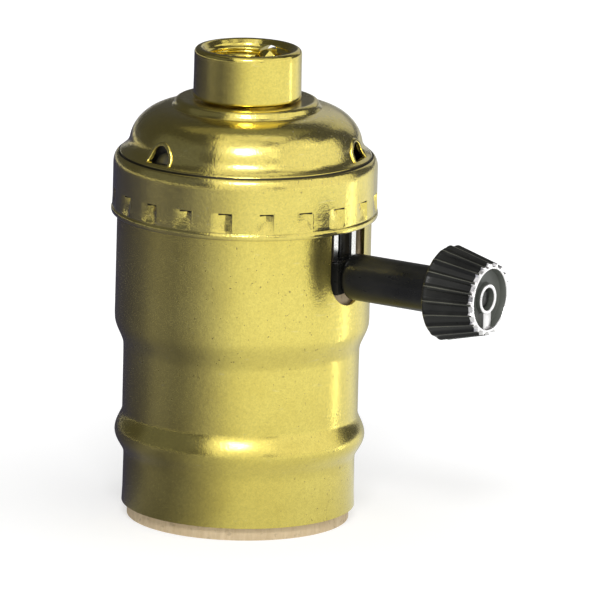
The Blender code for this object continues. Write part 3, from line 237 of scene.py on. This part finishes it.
CAD_FINISHES = {
    "hub_set_screw": TURNED_BRASS,
    "cap_insulator": FIBRE,
    "socket_body": PHENOLIC,
    "switch_cover": PHENOLIC,
    "switch_rotor": PHENOLIC,
    "retaining_fork": NICKEL,
    "centre_contact": BRONZE,
    "load_contact": BRONZE,
    "rotor_contact": BRONZE,
    "contact_rivet": TURNED_BRASS,
    "body_rivet_left": NICKEL,
    "body_rivet_right": NICKEL,
    "hot_terminal": TURNED_BRASS,
    "neutral_terminal": NICKEL,
    "hot_terminal_screw": TURNED_BRASS,
    "neutral_terminal_screw": NICKEL,
    "detent_spring": NICKEL,
    "key_shaft": NICKEL,
}


# Modelling


def deselect():
    if bpy.context.object and bpy.context.object.mode != "OBJECT":
        bpy.ops.object.mode_set(mode="OBJECT")
    bpy.ops.object.select_all(action="DESELECT")


def arc(centre, radii, start, end, count):
    """Points along an ellipse, from one angle to another in degrees."""
    points = []
    for k in range(count + 1):
        angle = math.radians(start + (end - start) * k / count)
        points.append((centre[0] + radii[0] * math.cos(angle), centre[1] + radii[1] * math.sin(angle)))
    return points


def smooth(t):
    """An S-curve from 0 to 1."""
    t = min(1.0, max(0.0, t))
    return t * t * (3.0 - 2.0 * t)


def eased(points, radius, count=3):
    """Rounds the inner corners of an open outline to a small radius."""
    result = [points[0]]
    for k in range(1, len(points) - 1):
        here = Vector(points[k])
        back = Vector(points[k - 1]) - here
        on = Vector(points[k + 1]) - here
        turn = math.pi - back.angle(on)
        reach = min(radius * math.tan(turn / 2.0), back.length * 0.45, on.length * 0.45)
        if turn < math.radians(12.0):
            result.append(tuple(here))
            continue
        start = here + back.normalized() * reach
        end = here + on.normalized() * reach
        for j in range(count + 1):
            t = j / count
            point = start * (1.0 - t) ** 2 + here * 2.0 * t * (1.0 - t) + end * t * t
            result.append(tuple(point))
    result.append(points[-1])
    return result


def even_rows(points, step):
    """Adds points along an outline so that no run is longer than step."""
    result = [points[0]]
    for a, b in zip(points, points[1:]):
        run = math.dist(a, b)
        count = max(1, math.ceil(run / step))
        for k in range(1, count + 1):
            result.append((a[0] + (b[0] - a[0]) * k / count, a[1] + (b[1] - a[1]) * k / count))
    return result


def turned(name, profile, sections):
    """Draws an outline in millimetres point by point, then spins it about Z, section by section."""
    deselect()
    bpy.ops.mesh.primitive_plane_add(size=MM, location=(profile[0][0] * MM, 0.0, profile[0][1] * MM))
    piece = bpy.context.object
    piece.name = name
    bpy.ops.object.mode_set(mode="EDIT")
    bpy.ops.mesh.select_mode(type="VERT")
    bpy.ops.mesh.select_all(action="SELECT")
    bpy.ops.mesh.merge(type="CENTER")
    bpy.ops.mesh.select_all(action="SELECT")
    for before, here in zip(profile, profile[1:]):
        move = ((here[0] - before[0]) * MM, 0.0, (here[1] - before[1]) * MM)
        bpy.ops.mesh.extrude_vertices_move(TRANSFORM_OT_translate={"value": move})
    bpy.ops.mesh.select_all(action="SELECT")
    for steps, angle in sections:
        bpy.ops.mesh.spin(steps=steps, angle=angle, center=(0.0, 0.0, 0.0), axis=(0.0, 0.0, 1.0))
    bpy.ops.mesh.select_all(action="SELECT")
    bpy.ops.mesh.remove_doubles(threshold=0.0000005)
    bpy.ops.mesh.normals_make_consistent(inside=False)
    bpy.ops.object.mode_set(mode="OBJECT")
    settle(piece)
    return piece


def settle(piece):
    """Puts the piece's place into its mesh."""
    bpy.ops.object.select_all(action="DESELECT")
    piece.select_set(True)
    bpy.context.view_layer.objects.active = piece
    bpy.ops.object.transform_apply(location=True, rotation=True, scale=True)


def move_points(piece, mover):
    """Moves each point of a piece, worked out in millimetres."""
    for vertex in piece.data.vertices:
        vertex.co = Vector(mover(*(vertex.co / MM))) * MM


def radially(piece, shift):
    """Moves each point towards or away from the axis; shift takes radius, angle and height."""

    def mover(x, y, z):
        radius = math.hypot(x, y)
        if radius < 0.000001:
            return x, y, z
        angle = math.atan2(y, x)
        new = radius + shift(radius, angle, z)
        return new * math.cos(angle), new * math.sin(angle), z

    move_points(piece, mover)


def apply(piece, kind, **settings):
    """Adds a modifier and applies it."""
    deselect()
    piece.select_set(True)
    bpy.context.view_layer.objects.active = piece
    modifier = piece.modifiers.new(kind.title(), kind)
    for key, value in settings.items():
        setattr(modifier, key, value)
    bpy.ops.object.modifier_apply(modifier=modifier.name)


def wall(piece, thickness):
    """Gives a spun sheet its metal thickness, inwards."""
    apply(piece, "SOLIDIFY", thickness=thickness * MM, offset=-1.0, use_even_offset=True)


def break_edges(piece, width, degrees=50.0, segments=2):
    apply(
        piece, "BEVEL", width=width * MM, segments=segments, limit_method="ANGLE",
        angle_limit=math.radians(degrees), use_clamp_overlap=True, miter_outer="MITER_ARC",
    )


def cut_away(piece, cutter):
    """Cuts a piece with another, which is then deleted."""
    apply(piece, "BOOLEAN", operation="DIFFERENCE", solver="EXACT", object=cutter)
    bpy.data.objects.remove(cutter, do_unlink=True)


def finish_piece(piece, material, body, stands_for, degrees=35.0):
    """Shades a piece, gives it its finish, and puts it on its body in place of the nodes it stands for."""
    deselect()
    piece.select_set(True)
    bpy.context.view_layer.objects.active = piece
    bpy.ops.object.shade_smooth_by_angle(angle=math.radians(degrees))
    if material:
        piece.data.materials.clear()
        piece.data.materials.append(material)
    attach(piece, body)
    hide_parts(*stands_for)
    return piece


def prism(name, outline, depth, matrix):
    """A flat outline in millimetres, drawn point by point, filled and extruded both ways."""
    deselect()
    bpy.ops.mesh.primitive_circle_add(vertices=len(outline), radius=MM, fill_type="NGON")
    piece = bpy.context.object
    piece.name = name
    for vertex, (x, y) in zip(piece.data.vertices, outline):
        vertex.co = (x * MM, y * MM, -depth * MM / 2.0)
    bpy.ops.object.mode_set(mode="EDIT")
    bpy.ops.mesh.select_all(action="SELECT")
    bpy.ops.mesh.extrude_region_move(TRANSFORM_OT_translate={"value": (0.0, 0.0, depth * MM)})
    bpy.ops.mesh.select_all(action="SELECT")
    bpy.ops.mesh.normals_make_consistent(inside=False)
    bpy.ops.object.mode_set(mode="OBJECT")
    piece.matrix_world = matrix
    settle(piece)
    return piece


def join(first, *others):
    """Joins other pieces into the first."""
    deselect()
    for other in others:
        other.select_set(True)
    first.select_set(True)
    bpy.context.view_layer.objects.active = first
    bpy.ops.object.join()
    return first


# FRONT_VIEW stands a flat outline up, facing +X; KEY_PLACE lays what was turned about Z along the key's line
FRONT_VIEW = Matrix(((0, 0, 1, 0), (1, 0, 0, 0), (0, 1, 0, 0), (0, 0, 0, 1)))
KEY_PLACE = Matrix.Translation((0.0, 0.0, KEY_Z * MM)) @ Matrix.Rotation(math.pi / 2.0, 4, "Y")


def at(x, y, z):
    """A move in millimetres."""
    return Matrix.Translation((x * MM, y * MM, z * MM))


# Cap, hub and shell


def past_nearest(angle, count, first=0.0):
    """The angle past the nearest of a number of even marks round the axis, minus when short of it."""
    pitch = FULL_TURN / count
    return (angle - first + pitch / 2.0) % pitch - pitch / 2.0


CAP_WALL = 0.35
SKIRT_RADIUS = 17.6
DENTS = 20
DENT_PHASE = math.radians(6.6)
DENT_TOP_Z = 17.85
DENT_FOOT_Z = 15.15
DENT_HALF = 1.02
DENT_FIELD = 1.20
LANCES = [math.radians(a) for a in (14.0, 136.0, 257.2)]
LANCE_Z = 22.98
# The dome's ellipse as its centre and its two radii, then the flare at its foot, each as radius and height
DOME = ((9.87, 23.58), (5.66, 5.15))
FLARE = [(15.475, 24.30), (15.55, 24.05), (15.68, 23.76), (15.88, 23.43), (16.15, 23.10), (16.50, 22.80)]


def cap_outline():
    """Collar, dome, flare, the crease at its foot, the rolled shoulder and the top of the skirt."""
    points = [(6.1, COLLAR_Z), (8.9, COLLAR_Z)]
    points += arc((8.9, COLLAR_Z - 0.7), (0.75, 0.7), 80, 5, 5)
    points += [(9.97, 28.80)]
    points += arc(DOME[0], DOME[1], 83, 8, 20)[:-1] + FLARE
    points += [(16.66, 22.70), (16.76, 22.58), (16.80, 22.40), (16.85, 22.30), (16.93, 22.28), (16.97, 22.34)]
    points += [(17.02, 22.36), (17.12, 22.31), (17.24, 22.18), (17.36, 21.99), (17.46, 21.76), (17.54, 21.48)]
    points += [(17.59, 21.15), (SKIRT_RADIUS, 20.8), (SKIRT_RADIUS, 18.6)]
    return points


def skirt_rows():
    """The rest of the skirt, in rows close enough together to carry the dents and the rolled hem."""
    rows = [(SKIRT_RADIUS, z) for z in (18.2, 18.0, DENT_TOP_Z + 0.09, DENT_TOP_Z + 0.012, DENT_TOP_Z - 0.012)]
    count = 15
    top = DENT_TOP_Z - 0.09
    foot = DENT_FOOT_Z + 0.12
    for k in range(count):
        z = top - (top - foot) * k / (count - 1)
        rows.append((SKIRT_RADIUS + 0.045 * smooth((16.8 - z) / 1.5), z))
    rows += [(17.635, 15.20), (17.60, 15.13), (17.63, 15.07), (17.72, 15.00), (17.765, 14.90), (17.775, 14.72)]
    rows += [(17.755, 14.50), (17.70, 14.36), (17.60, 14.28), (17.46, 14.26)]
    return rows


def dent_depth(angle, z):
    """How far a dent is pressed in: deepest under its sheared top edge, with sloping sides, running out below."""
    past = past_nearest(angle, DENTS, DENT_PHASE)
    across = abs(past) * SKIRT_RADIUS
    if z > DENT_TOP_Z or z < DENT_FOOT_Z - 0.05:
        return 0.0
    floor = 0.62 * ((z - DENT_FOOT_Z) / (DENT_TOP_Z - DENT_FOOT_Z)) ** 0.85 if z > DENT_FOOT_Z else 0.0
    lip = 0.018 * math.exp(-(((across - DENT_HALF - 0.06) / 0.07) ** 2)) * smooth((z - DENT_FOOT_Z) / 0.8)
    side = (DENT_HALF - across) * (2.0 if past > 0.0 else 0.85)
    return min(floor, max(0.0, side)) - lip


def in_painted_shade(x, y, z):
    """True in the crease, and at the top and one side of a dent: the faces given painted shade."""
    radius = math.hypot(x, y)
    if 16.74 < radius < 16.99 and 21.98 < z < 22.50:
        return True
    if radius < 17.0 or not 15.9 < z < DENT_TOP_Z:
        return False
    across = past_nearest(math.atan2(y, x), DENTS, DENT_PHASE) * SKIRT_RADIUS
    along_top = z > DENT_TOP_Z - 0.20 and abs(across) < DENT_HALF
    return along_top or abs(across - DENT_HALF + 0.10) < 0.13


def dome_radius(z):
    """The radius of the dome and its flare at a height."""
    if z > FLARE[0][1]:
        rise = min(1.0, (z - DOME[0][1]) / DOME[1][1])
        return DOME[0][0] + DOME[1][0] * math.sqrt(1.0 - rise * rise)
    for above, below in zip(FLARE, FLARE[1:]):
        if z > below[1]:
            return below[0] + (above[0] - below[0]) * (z - below[1]) / (above[1] - below[1])
    return FLARE[-1][0]


def moon(half, height, count=20):
    """The outline of a half moon, flat side down."""
    return arc((0.0, 0.0), (half, height), 0, 180, count)


def lance_rim(angle):
    """The burr that stands round a lanced tab's window, laid on the dome."""
    upright = Matrix.Rotation(math.pi / 2.0, 4, "X")
    rim = prism("lance_rim", moon(2.24, 2.84, 28), 0.5, upright)
    cut_away(rim, prism("rim_cutter", [(1.72, -0.5)] + moon(1.72, 2.32, 28) + [(-1.72, -0.5)], 1.0, upright))
    break_edges(rim, 0.17, 40.0, 4)

    def laid(x, y, z):
        radius = dome_radius(LANCE_Z + z) - 0.04 - y
        turn = angle + x / 15.4
        return radius * math.cos(turn), radius * math.sin(turn), LANCE_Z + z

    move_points(rim, laid)
    return rim


def make_cap():
    """The drawn cap, spun in narrow steps across each dent and wide ones between, with its lanced tabs and rims."""
    outline = even_rows(cap_outline(), 0.45) + skirt_rows()
    girth = FULL_TURN / DENTS * SKIRT_RADIUS
    widths = [(2, 0.20), (3, girth - 2.0 * DENT_FIELD - 0.40), (2, 0.20), (3, 0.24)]
    widths += [(4, 0.36), (4, 1.20), (4, 0.36), (3, 0.24)]
    cap = turned("brass_cap", outline, [(steps, width / SKIRT_RADIUS) for steps, width in widths] * DENTS)
    cap.data.transform(Matrix.Rotation(DENT_PHASE + DENT_FIELD / SKIRT_RADIUS, 4, "Z"))
    radially(cap, lambda radius, angle, z: -dent_depth(angle, z) if radius > 17.3 and z < 18.5 else 0.0)
    wall(cap, CAP_WALL)
    for angle in LANCES:
        place = Matrix.Rotation(angle, 4, "Z") @ at(15.6, 0, LANCE_Z) @ FRONT_VIEW
        cut_away(cap, prism("lance_cutter", moon(1.76, 2.36), 2.4, place))
    parts = [lance_rim(angle) for angle in LANCES]
    for angle in LANCES:
        lean = at(14.75, 0, LANCE_Z - 0.25) @ Matrix.Rotation(-math.radians(24.0), 4, "Y") @ FRONT_VIEW
        tab = prism("lance_tab", moon(1.66, 1.55), CAP_WALL, Matrix.Rotation(angle, 4, "Z") @ lean)
        break_edges(tab, 0.05)
        parts.append(tab)
    join(cap, *parts)
    cap.data.materials.clear()
    for material in (CAP_BRASS, PAINTED_SHADE_BRASS, TAB_PAINTED_SHADE):
        cap.data.materials.append(material)
    # The crease and each dent's top edge and one side get painted shade; the tabs and their windows get a lighter
    # grey painted shade.
    for polygon in cap.data.polygons:
        x, y, z = polygon.center / MM
        # Faces inside the lance windows take the grey tab brass: painted shade.
        in_window = math.hypot(x, y) < 15.20 and LANCE_Z - 0.4 < z < LANCE_Z + 2.3
        polygon.material_index = 1 if in_painted_shade(x, y, z) else 2 if in_window else 0
    return finish_piece(cap, None, "socket", ["cap"], 32.0)


def hub_thread(radius, angle, z):
    """27 turns to the inch, rounded crests, fading into the funnel and the foot."""
    if radius > 5.7 or not 28.6 < z < 36.2:
        return 0.0
    fade = smooth((36.2 - z) / 0.7) * smooth((z - 28.7) / 0.8)
    wave = 0.5 + 0.5 * math.cos(FULL_TURN * (z / (25.4 / 27.0) - angle / FULL_TURN))
    return 0.45 * fade * wave


def make_hub():
    """The turned hub: its outside and clinch, the funnel, the bore with its pipe thread, and the set screw's hole."""
    outside = [(6.15, HUB_TOP_Z - 0.02), (6.45, HUB_TOP_Z)]
    outside += arc((6.5, HUB_TOP_Z - 0.65), (0.65, 0.65), 80, 0, 8)
    outside += [(7.16, 33.0), (7.19, HUB_Z + 0.5), (7.21, HUB_Z), (5.6, HUB_Z), (5.6, 29.2), (6.8, 29.2), (6.8, 28.5)]
    outside += [(4.7, 28.5)]
    inside = [(4.5, 28.7), (4.5, 34.6), (5.0, 35.5), (5.75, 36.3), (6.0, 36.6), (6.15, HUB_TOP_Z - 0.02)]
    outline = eased(outside + inside, 0.12)
    rows = []
    for a, b in zip(outline, outline[1:]):
        step = 0.11 if a[0] < 5.8 and b[0] < 5.8 and 28.6 < b[1] else 0.8
        rows += even_rows([a, b], step)[:-1]
    rows.append(outline[-1])
    hub = turned("brass_hub", rows, [(96, FULL_TURN)])
    radially(hub, hub_thread)
    hole = Matrix.Translation((0.0, 5.5 * MM, (HUB_TOP_Z - 2.3) * MM)) @ Matrix.Rotation(math.pi / 2.0, 4, "X")
    cut_away(hub, prism("screw_hole", arc((0, 0), (1.72, 1.72), 0, 345, 23), 5.0, hole))
    return finish_piece(hub, TURNED_BRASS, "socket", ["threaded_hub"])


def shell_outline():
    """The snap groove under the skirt, the upper straight, the taper, the lower straight, the bead and the mouth."""
    points = [(16.95, 21.05), (16.95, 19.5), (16.9, 19.15), (16.55, 18.7), (16.53, 16.4), (16.9, 15.75)]
    points += [(16.95, 15.4), (16.97, 8.0), (17.0, 0.4), (16.98, 0.0)]
    points += [(16.98 - 1.21 * smooth(k / 12.0), -3.9 * k / 12.0) for k in range(1, 13)]
    points += [(15.75, -6.0), (15.75, -12.3)]
    for k in range(17):
        t = 1.0 - k / 8.0
        base = 15.75 if t > 0.0 else 15.50
        swell = math.cos(t * math.pi / 2.0) ** 1.5
        points.append((base + (16.72 - base) * swell, -15.5 + t * 2.9))
    points += [(15.47, -19.0), (15.52, -23.5), (15.60, MOUTH_Z)]
    return points


def make_shell():
    """The spun shell, slotted from its top edge for the key."""
    outline = even_rows(shell_outline(), 0.8)
    shell = turned("brass_shell", outline, [(180, FULL_TURN)])
    wall(shell, 0.40)
    slot = [(4.0, 14.0)] + arc((0, 0), (4.0, 4.0), 0, -180, 32) + [(-4.0, 14.0)]
    cut_away(shell, prism("slot_cutter", slot, 6.0, at(17.0, 0, KEY_Z) @ FRONT_VIEW))
    return finish_piece(shell, SHELL_BRASS, "socket", ["outer_shell"], 40.0)


# Liner and lamp thread


def make_liner():
    """The board sleeve, notched for the key."""
    points = [(16.25, 14.25), (16.25, 0.3)]
    points += [(16.25 - 1.4 * smooth(k / 10.0), -3.8 * k / 10.0) for k in range(11)]
    points += [(14.85, -10.0), (14.85, RIM_Z)]
    liner = turned("board_liner", even_rows(points, 1.2), [(128, FULL_TURN)])
    wall(liner, 0.70)
    notch = [(4.0, 8.0), (4.0, -1.7), (3.3, -2.4), (-3.3, -2.4), (-4.0, -1.7), (-4.0, 8.0)]
    cut_away(liner, prism("notch_cutter", notch, 6.0, at(16.5, 0, KEY_Z) @ FRONT_VIEW))
    break_edges(liner, 0.12)
    return finish_piece(liner, LINER, "socket", ["insulating_liner"])


def lamp_thread(radius, angle, z):
    """The rolled wave of a medium lamp thread, 7 turns to the inch, fading at both ends."""
    if not -19.6 < z < -0.6 or radius < 12.0:
        return 0.0
    pitch = 25.4 / 7.0
    fade = smooth(abs(z + 0.6) / (pitch * 0.4)) * smooth(abs(z + 19.6) / (pitch * 0.4))
    return -0.85 * fade * (0.5 - 0.5 * math.cos(FULL_TURN * (z / pitch - angle / FULL_TURN)))


def make_lamp_thread():
    """The rolled thread shell, with its floor and the two rivet holes."""
    points = [(8.3, 2.4), (12.85, 2.4)] + arc((12.85, 1.6), (0.8, 0.8), 80, 0, 6)
    points += [(13.65, -0.6), (13.65, -19.6), (13.70, -23.3), (13.75, -23.8)]
    outline = []
    for a, b in zip(points, points[1:]):
        step = 0.26 if a[1] <= -0.6 and b[1] >= -19.7 else 0.9
        outline += even_rows([a, b], step)[:-1]
    outline.append(points[-1])
    thread = turned("lamp_thread", outline, [(96, FULL_TURN)])
    radially(thread, lamp_thread)
    wall(thread, 0.35)
    for side in (-1, 1):
        place = at(-8.0, side * 6.9, 2.2)
        cut_away(thread, prism("rivet_hole", arc((0, 0), (1.4, 1.4), 0, 345, 23), 2.0, place))
    return finish_piece(thread, ALUMINIUM, "socket", ["screw_shell"], 40.0)


# Key


def make_stalk():
    """The key's moulded stalk, hollow at the shaft's end, with the spigot that carries the knob."""
    points = [(0.0, 37.9), (1.05, 37.9), (1.2, 37.75), (1.2, 36.6), (2.0, 36.6), (2.0, 32.6), (3.1, 32.6)]
    points += [(3.1, 30.0), (3.1, 24.0), (3.1, 18.5)]
    points += arc((2.6, STALK_START + 0.5), (0.5, 0.5), 0, -90, 6)
    points += [(2.2, STALK_START), (2.2, 27.2), (0.0, 27.2)]
    stalk = turned("moulded_stalk", points, [(64, FULL_TURN)])
    stalk.data.transform(KEY_PLACE)
    return finish_piece(stalk, PHENOLIC, "key", ["key_stalk"])


FLUTES = 20
RIDGE = 0.09
FLUTE_PITCH = FULL_TURN / FLUTES


def from_ridge(angle):
    """How far an angle is from the nearest ridge: 0 on it, 1 halfway to the next."""
    return abs(past_nearest(angle, FLUTES)) / (FLUTE_PITCH / 2.0)


def flute(radius, angle, z):
    """Scalloped flutes with narrow ridges, fading over the rounded back."""
    if radius < 4.55 or z < KNOB_BACK + 0.02:
        return 0.0
    valley = smooth((from_ridge(angle) - RIDGE) / 0.45)
    edge = smooth((z - KNOB_BACK) / 0.8)
    return -0.42 * valley * edge


def make_knob():
    """The fluted knob with its foiled rim, its dished face, the ring round the shaft and the pointer."""
    back = KNOB_BACK
    face = KNOB_FACE
    points = [(1.5, face - 2.0), (1.5, face - 0.40), (1.58, face - 0.32), (1.92, face - 0.30), (2.0, face - 0.38)]
    points += [(2.05, face - 1.0), (2.2, face - 1.12), (3.7, face - 1.12), (3.9, face - 1.0), (4.02, face - 0.1)]
    points += [(4.1, face), (4.72, face), (4.8, face - 0.06)]
    points += [(4.8 + 1.55 * k / 12.0, face - 0.06 - (face - 0.06 - back - 0.75) * k / 12.0) for k in range(1, 13)]
    points += arc((5.72, back + 0.63), (0.63, 0.63), -5, -90, 7)
    points += [(3.4, back), (3.4, back + 1.0), (2.3, back + 1.0), (2.3, face - 2.0), (1.5, face - 2.0)]
    sections = [(2, RIDGE * FLUTE_PITCH), (12, (1.0 - RIDGE) * FLUTE_PITCH)] * FLUTES
    knob = turned("fluted_knob", points, sections)
    knob.data.transform(Matrix.Rotation(-RIDGE * FLUTE_PITCH / 2.0, 4, "Z"))
    radially(knob, flute)
    pointer = prism("pointer", [(4.15, 0.92), (4.15, -0.92), (1.7, -0.92), (1.7, 0.92)], 0.9, at(0, 0, face - 0.85))
    break_edges(pointer, 0.10)
    join(knob, pointer)
    knob.data.materials.clear()
    for material in (KNOB_BLACK, SILVER, DISH_GREY, RIDGE_PAINTED_HIGHLIGHT):
        knob.data.materials.append(material)
    for polygon in knob.data.polygons:
        x, y, z = polygon.center / MM
        radius = math.hypot(x, y)
        on_bar = x > 1.95 and abs(y) < 0.95 and z > face - 1.05 and radius < 4.2 and polygon.normal.z > -0.5
        on_rim = z > face - 0.35 and 4.0 < radius < 4.82
        on_ring = z > face - 0.9 and 1.45 < radius < 2.02
        if on_rim or on_ring or on_bar and z > face - 0.99:
            polygon.material_index = 1
        elif z > face - 1.3 and radius < 4.1:
            polygon.material_index = 2
        # The ridges take the lighter ridge phenolic: a painted highlight.
        elif radius > 4.75:
            polygon.material_index = 3 if from_ridge(math.atan2(y, x)) < RIDGE else 0
    knob.data.transform(KEY_PLACE)
    return finish_piece(knob, None, "key", ["turn_knob"])


# Floor, camera and lights


def make_stage():
    """The pale paper floor, which glows a little so that it shows nearly white; the glow is dimmer close to the
    socket, a painted shadow round its foot.
    """
    deselect()
    bpy.ops.mesh.primitive_plane_add(size=6.0, location=(0.0, 0.0, RIM_Z * MM))
    floor = bpy.context.object
    floor.name = "studio_floor"
    paper = Finish("floor_paper", Roughness=0.9, Specular_IOR_Level=0.0, Emission_Strength=1.0)
    x, y = paper.level_axes()
    fibres = paper.noise(900.0, 3.0, 0.6)
    paper.set("Base Color", paper.mix(fibres, (0.44, 0.44, 0.44), (0.48, 0.48, 0.48)))
    # The glow is dimmer within 20 to 90 mm of the axis: a painted shadow round the socket's foot.
    glow_with_painted_shadow = paper.mix(paper.band(paper.length(x, y), 0.02, 0.09), (0.64, 0.64, 0.64), (0.86, 0.86, 0.86))
    paper.set("Emission Color", glow_with_painted_shadow)
    floor.data.materials.append(paper.material)


# The camera's angle and place, fitted to the photograph; NEAR is the level direction from the socket towards it
AZIMUTH = math.radians(33.0)
ELEVATION = math.radians(12.94)
ROLL = math.radians(1.42)
DISTANCE = 1.305
RIGHT = Vector((math.cos(AZIMUTH), math.sin(AZIMUTH), 0.0))
NEAR = Vector((math.sin(AZIMUTH), -math.cos(AZIMUTH), 0.0))
FORWARD = -NEAR * math.cos(ELEVATION) - Vector((0.0, 0.0, math.sin(ELEVATION)))
UP = RIGHT.cross(FORWARD)
AIM = RIGHT * 6.990 * MM + Vector((0.0, 0.0, 3.18 * MM))


def make_camera():
    data = bpy.data.cameras.new("camera")
    data.sensor_width = 36.0
    data.lens = 597.2
    data.clip_end = 20.0
    camera = bpy.data.objects.new("camera", data)
    bpy.context.scene.collection.objects.link(camera)
    turn = Matrix((RIGHT, UP, -FORWARD)).transposed().to_4x4() @ Matrix.Rotation(ROLL, 4, "Z")
    camera.matrix_world = Matrix.Translation(AIM - FORWARD * DISTANCE) @ turn
    bpy.context.scene.camera = camera
    bpy.context.scene.view_settings.view_transform = "Standard"


def from_camera(turn, rise, distance):
    """A place seen from the socket: degrees to the right of the camera, degrees up, and metres away."""
    turn = math.radians(turn)
    rise = math.radians(rise)
    level = RIGHT * math.sin(turn) + NEAR * math.cos(turn)
    return level * distance * math.cos(rise) + Vector((0.0, 0.0, distance * math.sin(rise)))


def soft_light(name, turn, rise, distance, size, brightness):
    """A soft panel facing the socket; brightness is what a mirror would show of it."""
    light = bpy.data.lights.new(name, "AREA")
    light.shape = "RECTANGLE"
    light.size = size[0]
    light.size_y = size[1]
    light.energy = brightness * math.pi * size[0] * size[1]
    lamp = bpy.data.objects.new(name, light)
    bpy.context.scene.collection.objects.link(lamp)
    place = from_camera(turn, rise, distance)
    lamp.location = place
    lamp.rotation_euler = (Vector((0.0, 0.0, 0.005)) - place).to_track_quat("-Z", "Y").to_euler()
    lamp.visible_camera = False
    return lamp


def only_mirrored(sheet, name, **constants):
    """Gives a sheet a glowing finish and hides it from all but the mirroring brass."""
    sheet.name = name
    finish = Finish(name, Roughness=1.0, Base_Color=(0.0, 0.0, 0.0), Specular_IOR_Level=0.0, **constants)
    sheet.data.materials.append(finish.material)
    sheet.visible_camera = False
    sheet.visible_shadow = False
    sheet.visible_diffuse = False
    return finish


def make_painted_reflection_sheet():
    """A glowing sheet on the floor that only the brass mirrors: painted reflections, dark to the left as painted
    shade, pale to the right, and dimmer near the foot as a painted shadow.
    """
    deselect()
    place = (0.0, 0.0, (RIM_Z + 0.2) * MM)
    bpy.ops.mesh.primitive_circle_add(vertices=96, radius=0.9, fill_type="NGON", location=place)
    glow_sheet = only_mirrored(bpy.context.object, "painted_reflection_sheet", Emission_Strength=1.0)
    x, y = glow_sheet.level_axes()
    angle = glow_sheet.math("ARCTAN2", x * RIGHT.x + y * RIGHT.y, x * NEAR.x + y * NEAR.y)
    # Dimmer close to the socket's foot: a painted shadow in the reflections.
    reach = glow_sheet.band(glow_sheet.length(x, y), 0.02, 0.11, 0.72, 1.0)
    # Degrees to the right of the camera, brightness, and how blue that is
    shades = [(-180, 0.05, 2.0), (-150, 0.040, 2.2), (-118, 0.055, 2.2), (-98, 0.09, 2.0), (-84, 0.19, 1.6)]
    shades += [(-58, 0.13, 1.6), (-42, 0.22, 1.4), (-30, 0.38, 1.25), (-18, 0.58, 1.1), (-6, 0.82, 1.0)]
    shades += [(6, 0.96, 1.0), (18, 1.0, 1.0), (130, 1.0, 1.0), (150, 0.5, 1.0)]
    stops = [((turn + 180) / 360.0, (v, v * 1.02, v * blue)) for turn, v, blue in shades]
    # The dark stops to the left of the camera are painted shade in the reflections.
    shade = glow_sheet.node("ShaderNodeValToRGB", {"stops": stops}, (glow_sheet.band(angle, -math.pi, math.pi),))
    glow_sheet.set("Emission Color", glow_sheet.mix(reach, (0.0, 0.0, 0.0), shade))


def make_bright_strip():
    """A narrow glowing strip on the floor to the right, hidden from the camera, which the brass mirrors as a thin
    painted highlight.
    """
    deselect()
    bpy.ops.mesh.primitive_plane_add(size=MM)
    strip = bpy.context.object
    start = RIGHT * 13.75 + NEAR * 10.0
    along = RIGHT * 0.953 - NEAR * 0.302
    aside = RIGHT * 0.302 + NEAR * 0.953
    corners = [(50.0, -0.8), (320.0, -7.0), (50.0, 0.8), (320.0, 7.0)]
    for vertex, (far, off) in zip(strip.data.vertices, corners):
        vertex.co = (start + along * far + aside * off) * MM + Vector((0.0, 0.0, (RIM_Z + 0.3) * MM))
    only_mirrored(strip, "glowing_highlight_strip", Emission_Color=(1.0, 1.0, 1.0), Emission_Strength=6.0)


def make_lights():
    soft_light("front_lamp", -1.0, 42.0, 1.0, (0.24, 0.20), 24.0)
    soft_light("front_panel", 0.0, 28.0, 1.5, (1.5, 1.55), 1.0)
    soft_light("upper_panel", -10.0, 63.5, 1.2, (0.80, 0.47), 0.95)
    soft_light("upper_right", 60.0, 51.0, 1.1, (1.0, 0.36), 0.90)
    soft_light("right_panel", 70.0, 21.0, 1.0, (1.6, 0.78), 0.92)
    top = soft_light("top_panel", 0.0, 86.0, 1.0, (0.78, 0.36), 0.85)
    top.location += RIGHT * 0.10
    soft_light("ceiling", 180.0, 70.0, 1.4, (1.4, 0.5), 0.16)
    soft_light("back_panel", 160.0, 22.0, 1.0, (0.6, 0.5), 0.45)
    left = soft_light("left_panel", -75.0, 24.0, 0.8, (0.9, 0.70), 0.07)
    left.data.color = (0.88, 0.98, 1.7)


def make_backdrop():
    """White all round for the camera, dim for everything else."""
    world = bpy.data.worlds.new("studio")
    bpy.context.scene.world = world
    world.use_nodes = True
    tree = world.node_tree
    backdrop = tree.nodes["Background"]
    backdrop.inputs["Color"].default_value = (1.0, 1.0, 1.0, 1.0)
    path = tree.nodes.new("ShaderNodeLightPath")
    strength = tree.nodes.new("ShaderNodeMapRange")
    strength.inputs["To Min"].default_value = 0.07
    strength.inputs["To Max"].default_value = 1.0
    tree.links.new(path.outputs["Is Camera Ray"], strength.inputs["Value"])
    tree.links.new(strength.outputs["Result"], backdrop.inputs["Strength"])


for name, material in CAD_FINISHES.items():
    mesh = NODES[name].data
    mesh.materials.clear()
    mesh.materials.append(material)

make_camera()
make_cap()
make_hub()
make_shell()
make_liner()
make_lamp_thread()
make_stalk()
make_knob()
make_stage()
make_lights()
make_painted_reflection_sheet()
make_bright_strip()
make_backdrop()
